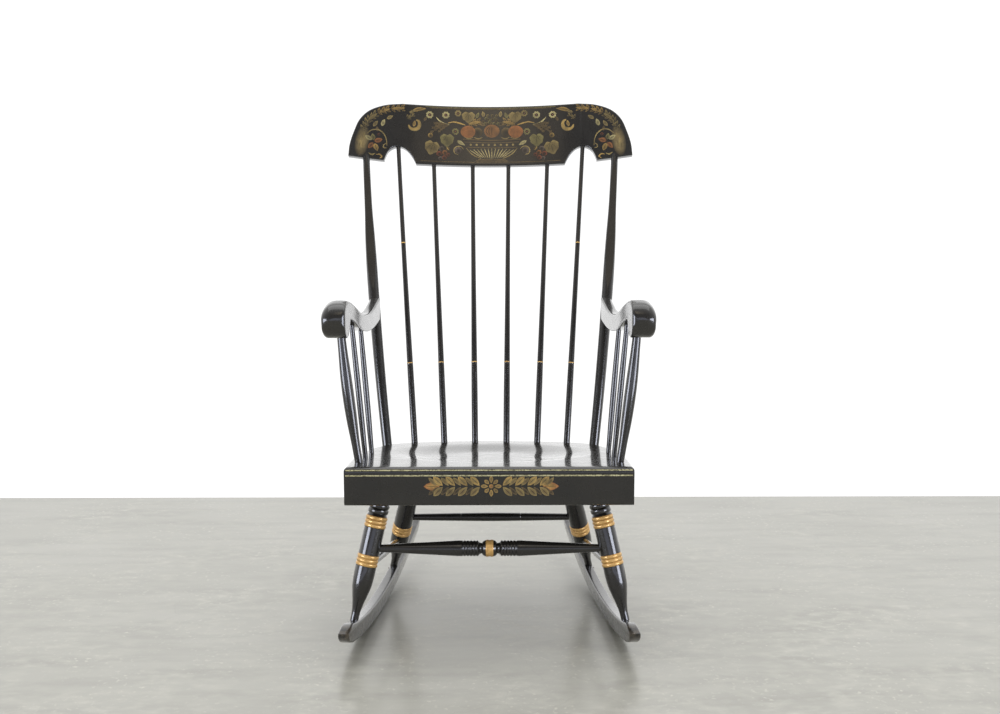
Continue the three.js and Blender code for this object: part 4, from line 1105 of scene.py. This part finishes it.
    def heart_leaf(self, x, z, angle, long, wide, tint, lit=(0, 1)):
        """A broad vine leaf about its middle, notched at its stalk, pointed, with dark veins."""
        turn, count = math.radians(angle), 28
        rim = []
        for k in range(count):
            a = 2 * math.pi * k / count
            # A heart: two lobes behind, drawn out to a tip in front, with a toothed edge
            reach = 0.5 - 0.2 * max(-math.cos(a), 0) ** 9 + 0.14 * max(math.cos(a), 0) ** 8
            reach *= 1 + 0.06 * math.cos(7 * a)
            rim.append(self.turned(x, z, turn, reach * long * math.cos(a), reach * wide * math.sin(a) * 1.08))
        self.bloom(rim, (x, z), tint, mixed(SHADE, tint, 0.45), lit)
        stalk = self.turned(x, z, turn, -0.28 * long, 0)
        for spread, length in ((-62, 0.4), (-32, 0.58), (0, 0.78), (32, 0.58), (62, 0.4)):
            tip = self.turned(*stalk, turn + math.radians(spread), length * long, 0)
            self.stroke([stalk, tip], 0.9, SHADE)

    def mirrored(self, draw, middle=0.0):
        """Draws a motif on the right and again on the left."""
        first, first_face = len(self.verts), len(self.faces)
        draw()
        copied, shift = list(self.verts[first:]), len(self.verts) - first
        self.tints.extend(self.tints[first:])
        self.verts.extend((2 * middle - x, z, depth) for x, z, depth in copied)
        for face in list(self.faces[first_face:]):
            self.faces.append([i + shift for i in reversed(face)])

    def lay(self, name, place, finish, cut_every=None):
        """Lays the shapes on their board as one thin closed film."""
        bm = bmesh.new()
        layer = bm.verts.layers.float_color.new("Powder")
        made = []
        for co, tint in zip(self.verts, self.tints):
            vert = bm.verts.new(co)
            vert[layer] = tint
            made.append(vert)
        for face in self.faces:
            bm.faces.new([made[i] for i in face])
        bmesh.ops.recalc_face_normals(bm, faces=bm.faces)
        for face in bm.faces:
            if face.normal.z > 0:
                face.normal_flip()
        if cut_every:
            split_across(bm, cut_every, max(abs(v[0]) for v in self.verts))
        skin = bmesh.ops.extrude_face_region(bm, geom=bm.faces[:] + bm.edges[:] + bm.verts[:])
        for part in skin["geom"]:
            if isinstance(part, bmesh.types.BMVert):
                part.co.z += PAINT_THICKNESS * FILM_SHARE
        for vert in bm.verts:
            vert.co = place(vert.co.x, vert.co.y, vert.co.z)
        mesh = bpy.data.meshes.new(name)
        bmesh.ops.recalc_face_normals(bm, faces=bm.faces)
        for face in bm.faces:
            face.smooth = True
        for edge in bm.edges:
            edge.smooth = len(edge.link_faces) != 2 or edge.calc_face_angle(0) < math.radians(30)
        bm.to_mesh(mesh)
        bm.free()
        mesh.materials.append(finish)
        piece = put(name, mesh)
        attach(piece, "root")


def oval(centre, wide, tall, count):
    """Points round an oval of these half sizes."""
    angles = (2 * math.pi * k / count for k in range(count))
    return [(centre[0] + wide * math.cos(a), centre[1] + tall * math.sin(a)) for a in angles]


def mixed(a, b, share):
    """A colour part of the way from a to b."""
    return tuple(p + (q - p) * share for p, q in zip(a, b))


def ear_motifs(art):
    """Soft bronze along the ear's edge, lobed leaves that follow it round, and a nosegay under an arc."""
    rim = [(-291 + 16 * math.cos(a) + 5 * math.sin(a), 44 + 37 * math.sin(a))
           for a in (math.radians(12 * k) for k in range(30))]
    art.bloom(rim, (-292, 40), SHADE, mixed(SHADE, mixed(TAN, MAUVE, 0.2), 1.05))
    for x, z, long, share in ((-297, 30, 20, 0.5), (-293, 44, 26, 1.0), (-289, 36, 18, 0.6),
                              (-287, 56, 16, 0.8)):
        art.stroke([(x, z - long / 2), (x - 0.5, z), (x + 1.5, z + long / 2)], 2.6, mixed(SHADE, TAN, share))
    for x, z, angle, length, width, tint in (
            (-284, 84, 62, 27, 15, TAN), (-268, 104, 42, 27, 16, TAN), (-243, 121, 22, 30, 16, GOLD),
            (-211, 129, 8, 32, 16, GOLD)):
        art.acanthus(x, z, angle, length, width, tint)
    for x, z, angle, length, width, tint in (
            (-262, 88, 55, 17, 8, TAN), (-245, 92, 70, 18, 9, PALE), (-230, 106, 34, 16, 8, TAN),
            (-258, 76, 95, 12, 6, BROWN)):
        art.leaf(x, z, angle, length, width, tint)
    art.stroke([(-280, 63), (-270, 72), (-256, 74), (-244, 66), (-238, 54), (-236, 38)], 2.8, TAN)
    for x, z, angle, length, width, tint in (
            (-277, 53, 150, 17, 10, PALE), (-267, 56, 102, 16, 10, OLIVE), (-255, 49, 20, 19, 11, COPPER),
            (-272, 35, 232, 18, 10, COPPER), (-260, 32, 292, 19, 11, GOLD)):
        art.leaf(x, z, angle, length, width, tint, lit=(-0.4, 0.9))
    art.disc(-254, 63, 3.4, RED)
    art.disc(-266, 44, 2.6, SHADE)
    art.stroke([(-238, 43), (-243, 39), (-243, 33), (-237, 32)], 2.4, TAN)
    art.stroke([(-277, 18), (-270, 14), (-262, 17)], 3.2, TAN)
    art.stroke([(-260, 15), (-252, 16), (-247, 11), (-252, 7)], 3.2, GOLD)


def spray_motifs(art):
    """A leafy scroll, ring flowers and ferns between the ear and the basket."""
    art.stroke([(-188, 91), (-184, 84), (-176, 81), (-167, 84), (-163, 93), (-165, 101), (-171, 104)],
               8.5, GOLD, TAN)
    art.leaf(-175, 95, 78, 15, 7, GOLD)
    art.acanthus(-183, 113, 40, 22, 13, TAN, 2)
    art.leaf(-165, 130, 14, 34, 9, GOLD, bend=-0.06, lit=(0, 1))
    art.leaf(-179, 124, 20, 16, 6, TAN)
    art.leaf(-150, 108, 60, 12, 6, BROWN)
    for x, z, radius, tint in ((-140, 118, 8.6, PALE), (-103, 119, 8.6, PALE), (-75, 124, 7.8, TAN),
                               (-81, 80, 8, OLIVE)):
        art.ring_flower(x, z, radius, tint)
    art.stroke([(-125, 113), (-118, 105), (-108, 99), (-95, 96)], 3.2, PALE)
    art.stroke([(-98, 100), (-84, 103), (-70, 100), (-58, 96)], 3.4, GOLD)
    for tip, rise in (((-131, 97), 3), ((-136, 84), 4), ((-140, 72), 5), ((-120, 76), 3), ((-124, 90), 3)):
        hub, end = Vector((-94, 95)), Vector(tip)
        art.stroke([tuple(hub), tuple(hub.lerp(end, 0.5) + Vector((0, rise))), tip], 2.6, BROWN, SHADE)
        for share in (0.5, 0.68, 0.86):
            at = hub.lerp(end, share) + Vector((0, rise * 4 * share * (1 - share)))
            for angle in (142, 222):
                art.leaf(at.x - 2, at.y, angle, 9, 3, BROWN)
    art.disc(-138, 69, 5.6, GOLD)


def basket_motifs(art):
    """Vine leaves, grapes, flowers and fruit heaped about one half of the basket."""
    art.heart_leaf(-100, 62, 268, 29, 29, OLIVE)
    art.stroke([(-100, 48), (-100, 41), (-95, 35)], 1.8, GOLD)
    art.heart_leaf(-134, 43, 255, 31, 31, TAN)
    for x, z, radius, tint in ((-112, 38, 6, MAUVE), (-118, 26, 6, RED), (-105, 29, 5.6, COPPER),
                               (-106, 17, 5.4, RED), (-97, 38, 4.6, BROWN), (-115, 15, 4.6, MAUVE),
                               (-97, 24, 4.4, RED)):
        art.disc(x, z, radius, tint)
    art.leaf(-68, 53, 330, 21, 8, PALE, lit=(0, 1))
    art.disc(-74, 35, 7.6, MAUVE)
    art.stroke([(-62, 38), (-68, 44), (-78, 44), (-84, 37), (-82, 28), (-74, 25)], 2.6, TAN)
    art.heart_leaf(-51, 118, 268, 25, 28, TAN)
    art.acanthus(-36, 102, 12, 30, 17, GOLD)
    art.leaf(-30, 120, 68, 15, 7, OLIVE)
    art.leaf(-17, 123, 100, 14, 8, TAN)
    art.disc(-30, 79, 11.5, BROWN, SHADE, (0, 1))
    art.striped_fruit(-52, 80, 17, COPPER)
    art.leaf(-20, 99, 152, 17, 8, BROWN)
    for x in (-60, -38):
        art.stroke([(x, 67), (x + 10, 63.5), (x + 20, 67)], 2.6, TAN, BROWN)


def basket(art):
    """The basket: a rim, a row of dots, ribs that spread like rays and a low foot."""
    middle = BASKET_MIDDLE
    art.striped_fruit(middle, 82, 18, mixed(BROWN, COPPER, 0.55))
    for k in range(9):
        art.disc(middle - 20 + 5 * k, 101 + 3 * math.cos(k * 2.1), 4, OLIVE if k % 2 else BROWN)
    for k in range(6):
        art.disc(middle - 13 + 5 * k, 110 + 2 * math.cos(k * 1.7), 3.6, BROWN if k % 2 else OLIVE)
    for x in (-9, 1, 11):
        art.disc(middle + x, 119, 3.4, TAN)
    art.stroke([(middle - 66, 62), (middle, 60), (middle + 66, 62)], 3.2, BROWN, SHADE, False)
    art.stroke([(middle - 62, 55.5), (middle, 54), (middle + 62, 55.5)], 1.2, BROWN, None, False)
    dots, spacing = 8, 13.9
    for k in range(dots):
        art.disc(middle + spacing * (k - (dots - 1) / 2), 49, 2.7, TAN, TAN, None, 8)
    art.stroke([(middle - 58, 43), (middle, 42), (middle + 58, 43)], 1.2, BROWN, None, False)
    ribs = 13
    for k in range(ribs):
        share = 2 * k / (ribs - 1) - 1
        foot = (middle + share * 25, 16 + 3 * abs(share))
        art.stroke([foot, (middle + share * 51, 40 - 3 * share * share)], 2.8, PALE, BROWN)
    for side in (-1, 1):
        art.stroke([(middle + side * 59, 41), (middle + side * 45, 26), (middle + side * 25, 16)], 2.2, TAN)
    for z, reach in ((14, 32), (10.5, 36)):
        art.stroke([(middle - reach, z), (middle + reach, z)], 1.6, BROWN, None, False)


def crest_stencil():
    """A traditional fruit basket with vine leaves, grapes, ring flowers and fern sprays."""
    art = Ornament()
    art.mirrored(lambda: ear_motifs(art))
    art.mirrored(lambda: spray_motifs(art), BASKET_MIDDLE / 2)
    art.mirrored(lambda: basket_motifs(art), BASKET_MIDDLE)
    basket(art)
    # Fine lines along the top and bottom edges
    for z, reach, tint in ((137.2, 150, OLIVE), (134.6, 140, BROWN), (7.5, 160, BROWN)):
        art.stroke([(-reach, z), (0, z), (reach, z)], 1.1, tint, None, False)
    art.lay("crest_stencil", lambda x, z, depth: crest_room(x, z, depth - CREST_THICKNESS / 2), STENCIL, 6)


def rail_face(x, z, depth=0.0):
    """A place on the front rail's upright face, z up from the floor."""
    return room(x, depth, z)


def seat_stencil():
    """A flower of eight petals between two sprays of broad slanted bars that end in pointed buds."""
    art = Ornament()
    middle, centre = SEAT_STENCIL_Z, SEAT_STENCIL_X

    def spray():
        bars, spacing = 4, 23.5
        for k in range(bars):
            base = centre - 22 - spacing * k
            for foot, angle, length, width, tint, inside in (
                    (0, 135, 25, 11.5, GOLD, TAN), (-12, 133, 22, 7.5, TAN, BROWN),
                    (0, 225, 25, 11.5, TAN, BROWN), (-12, 227, 22, 7, BROWN, SHADE)):
                turn = math.radians(angle)
                x = base + foot + length / 2 * math.cos(turn)
                z = middle + (length / 2 + 1.5) * math.sin(turn)
                art.leaf(x, z, angle + 180, length, width, tint, inside)
        art.leaf(centre - 114, middle, 180, 30, 16, COPPER, GOLD)
        art.leaf(centre - 106, middle + 6, 150, 20, 6, GOLD)
        art.leaf(centre - 106, middle - 6, 210, 20, 6, BROWN)

    art.mirrored(spray, centre)
    for k in range(8):
        turn, length = k * math.pi / 4, 14 if k % 2 == 0 else 11.5
        reach = 6 + length / 2
        art.leaf(centre + reach * math.cos(turn), middle + reach * math.sin(turn), 45 * k + 180, length, 7.2,
                 GOLD, BROWN)
    art.disc(centre, middle, 7, SHADE, SHADE, None)
    art.disc(centre, middle, 4.2, GOLD, COPPER, None)
    art.lay("seat_front_stencil", rail_face, STENCIL)


def pinstripes():
    """Two cream lines along the top of the seat's front face."""
    for name, z, width in PINSTRIPES:
        art = Ornament()
        reach = SEAT_WIDTH / 2 - STRIPE_INSET
        art.stroke([(-reach, z), (-reach / 3, z), (reach / 3, z), (reach, z)], width, PALE, None, False)
        art.lay(name, rail_face, CREAM_STRIPE)


for side in (1, -1):
    rocker(side)
    leg(f"front_leg_{hand(side)}", side, FRONT_LEG, FRONT_BANDS, LEG_BEADS)
    leg(f"rear_leg_{hand(side)}", side, REAR_LEG, REAR_BANDS, ())
    stretcher(f"side_stretcher_{hand(side)}", on_leg(side, FRONT_LEG, SIDE_STRETCHER_Z[0]),
              on_leg(side, REAR_LEG, SIDE_STRETCHER_Z[1]), plain_stretcher(*SIDE_STRETCHER_RADII))
    back_post(side)
    for i in range(len(SPINDLE_FEET)):
        back_spindle(side, i)
    arm(side)
    arm_post(side)
    for i in range(len(ARM_SPINDLE_FEET)):
        arm_spindle(side, i)
stretcher("front_stretcher", on_leg(-1, FRONT_LEG, FRONT_STRETCHER_Z),
          on_leg(1, FRONT_LEG, FRONT_STRETCHER_Z), front_stretcher_rings, (LACQUER, BRONZE))
stretcher("rear_stretcher", on_leg(-1, REAR_LEG, REAR_STRETCHER_Z), on_leg(1, REAR_LEG, REAR_STRETCHER_Z),
          plain_stretcher(*REAR_STRETCHER_RADII, SCORE_OFFSETS))
seat_plank()
front_rail()
crest_rail()
crest_stencil()
seat_stencil()
pinstripes()

# The CAD's own pins and screws stay, in their real materials
for name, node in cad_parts.items():
    for part, finish in (("rocker_pin", BEECH), ("crest_pin", BEECH), ("arm_screw", STEEL)):
        if name.startswith(part):
            node.data.materials.clear()
            node.data.materials.append(finish)


# Floor, wall, light and camera

FLOOR_REACH = 40.0
WALL_BACK, WALL_HEIGHT = 0.966, 4.0
GLOW_WIDTHS, GLOW_POWER, GLOW_GAP = (0.5, 1.1, 1.8), 1.3, 0.02
# The camera's place is in the part's own frame, in mm: right of the middle, in front of the seat, above it
CAMERA_PLACE, CAMERA_DOWN, CAMERA_ROLL = (22.7, -2421, 918.6), 7.834, -0.111
CAMERA_LENS, CAMERA_SENSOR, CAMERA_SHIFT = 46.8, 36.0, -0.0008


def stage_sheet(name, corners, finish):
    """A flat sheet of the room round the chair."""
    mesh = bpy.data.meshes.new(name)
    mesh.from_pydata(corners, [], [(0, 1, 2, 3)])
    mesh.materials.append(finish)
    sheet = put(name, mesh)
    return sheet


def sealed_concrete():
    """Sealed concrete, power-trowelled: pale grey clouds, long trowel streaks, a few hairline cracks and pale
    specks, under a thin sealer that gives a soft reflection."""
    made, tree, shader, place = new_finish("sealed_concrete", IOR=1.45, Coat_Weight=0.45, Coat_Roughness=0.2)
    # Trowel marks, a hand wide and drawn out along x, over clouds near half a metre
    cloud = patches(tree, place, 420, 0.32, 0.68, detail=5.0)
    streak = patches(tree, place, 60, 0.42, 0.68, 0.0, 0.4, 4.0, (0.22, 1.0, 1.0))
    # Blotches of lime come and go
    lime = patches(tree, place, 26, 0.44, 0.7, detail=6.0, stretch=(0.6, 1.0, 1.0))
    region = patches(tree, place, 240, 0.36, 0.62, 0.15, 1.0, 2.0)
    blotch = add_node(tree, "ShaderNodeMath", {0: lime, 1: region}, operation="MULTIPLY")
    # Sand grains near 2 mm are drawn as specks of 11 mm, as fine as the picture holds
    sand = patches(tree, place, 11, 0.58, 0.72, 0.0, 0.8, 6.0)
    drift = patches(tree, place, 130, 0.4, 0.62, 0.1, 1.0, 2.0)
    speck = add_node(tree, "ShaderNodeMath", {0: sand, 1: drift}, operation="MULTIPLY")
    # Hairline cracks wander between cells more than a metre across
    wander = add_node(tree, "ShaderNodeTexNoise", {"Vector": place, "Scale": per_mm(260), "Detail": 6.0})
    bent = add_node(tree, "ShaderNodeVectorMath", {0: wander.outputs["Color"], 3: 0.5}, operation="SCALE")
    moved = add_node(tree, "ShaderNodeVectorMath", {0: place, 1: bent}, operation="ADD")
    cell = add_node(tree, "ShaderNodeTexVoronoi", {"Vector": moved, "Scale": per_mm(1300)},
                    feature="DISTANCE_TO_EDGE")
    crack = add_node(tree, "ShaderNodeMapRange", {"Value": cell.outputs["Distance"], "From Max": 0.003,
                                                  "To Min": 0.14, "To Max": 0.0})
    tone = coats(tree, "#a3a29a", (cloud, "#9a9990"), (streak, "#84837b"), (blotch, "#b1b0a7"),
                 (speck, "#bfbeb2"), (crack, "#7f7c75"))
    gloss = add_node(tree, "ShaderNodeMapRange", {"Value": blotch, "From Max": 0.6, "To Min": 0.36,
                                                  "To Max": 0.5})
    wire(tree, shader, {"Base Color": tone, "Roughness": gloss})
    return made


def lit_wall():
    """A white painted wall, lit evenly, that only shows from the front."""
    made = bpy.data.materials.new("white_wall")
    made.use_nodes = True
    tree = made.node_tree
    tree.nodes.clear()
    glow = add_node(tree, "ShaderNodeEmission", {"Color": colour("#ffffff"), "Strength": 1.15})
    clear = add_node(tree, "ShaderNodeBsdfTransparent")
    behind = add_node(tree, "ShaderNodeNewGeometry").outputs["Backfacing"]
    one_sided = add_node(tree, "ShaderNodeMixShader", {0: behind, 1: glow, 2: clear})
    add_node(tree, "ShaderNodeOutputMaterial", {"Surface": one_sided})
    return made


def sheet_corners(depth, height):
    """Corners of a wide sheet: flat, or upright at a depth behind the chair."""
    near = -FLOOR_REACH if height == 0 else depth
    return [(-FLOOR_REACH, near, 0), (FLOOR_REACH, near, 0), (FLOOR_REACH, depth, height),
            (-FLOOR_REACH, depth, height)]


floor = stage_sheet("floor", sheet_corners(FLOOR_REACH, 0), sealed_concrete())
stage_sheet("wall", sheet_corners(WALL_BACK, WALL_HEIGHT), lit_wall())


def studio_air():
    """Pale surroundings: bright behind and above, dimmer where the camera stands."""
    world = bpy.data.worlds.new("studio")
    bpy.context.scene.world = world
    world.use_nodes = True
    tree = world.node_tree
    tree.nodes.clear()
    way = add_node(tree, "ShaderNodeTexCoord").outputs["Generated"]
    back = add_node(tree, "ShaderNodeSeparateXYZ", {"Vector": way}).outputs["Y"]
    behind = add_node(tree, "ShaderNodeMapRange", {"Value": back, "From Min": -0.8, "From Max": 0.05})
    seen = add_node(tree, "ShaderNodeLightPath").outputs["Is Camera Ray"]
    tone = coats(tree, "#828081", (behind, "#ffffff"), (seen, "#fbfbfb"))
    air = add_node(tree, "ShaderNodeBackground", {"Color": tone, "Strength": 1.0})
    add_node(tree, "ShaderNodeOutputWorld", {"Surface": air})


def softbox(name, place, aim, size, power, tint="#ffffff", chair_only=False):
    """A flat lamp of a size in metres and a power in watts. chair_only keeps it off the floor."""
    light = bpy.data.lights.new(name, "AREA")
    light.shape = "RECTANGLE"
    light.size, light.size_y = size
    light.energy = power
    light.color = colour(tint)[:3]
    lamp = put(name, light)
    lamp.location = place
    lamp.rotation_euler = (Vector(aim) - Vector(place)).to_track_quat("-Z", "Y").to_euler()
    if chair_only:
        lamp.light_linking.receiver_collection = unlit_stage
    return lamp


unlit_stage = bpy.data.collections.new("unlit_stage")
unlit_stage.objects.link(floor)
unlit_stage.collection_objects[0].light_linking.link_state = "EXCLUDE"
studio_air()
softbox("window_left", (-2.5, -1.9, 0.51), (0, 0, 0.5), (1.5, 0.98), 48, "#eaefff", True)
softbox("window_right", (2.2, -2.1, 0.51), (0, 0, 0.5), (1.4, 0.98), 45, "#eaefff", True)
softbox("far_room", (0, -6.5, 0.5), (0, 0, 0.5), (7.0, 1.0), 26, "#dfe6ff", True)
softbox("overhead", (0, 0.0, 3.4), (0, -0.1, 0), (4.4, 2.6), 52)
softbox("front_sky", (0, -4.4, 2.3), (0, 0, 0), (8.0, 2.6), 120).visible_glossy = False
# Three nested panels make one glow on the crest that fades to its sides
for number, width in enumerate(GLOW_WIDTHS):
    softbox(f"ceiling_glow_{number}", (0, -2.6 - GLOW_GAP * number, 3.1), (0, 0, 0.6), (width, 1.2),
            GLOW_POWER * width, "#ffeccb")

camera = bpy.data.cameras.new("camera")
camera.lens, camera.sensor_width = CAMERA_LENS, CAMERA_SENSOR
camera.shift_x = CAMERA_SHIFT
viewpoint = put("camera", camera)
side_way, way_back, height = CAMERA_PLACE
viewpoint.matrix_world = (Matrix.Translation(room(side_way, way_back, height + FLAT_SAG))
                          @ Matrix.Rotation(math.radians(90 - CAMERA_DOWN), 4, "X")
                          @ Matrix.Rotation(math.radians(CAMERA_ROLL), 4, "Z"))
bpy.context.scene.camera = viewpoint
bpy.context.scene.view_settings.view_transform = "Standard"
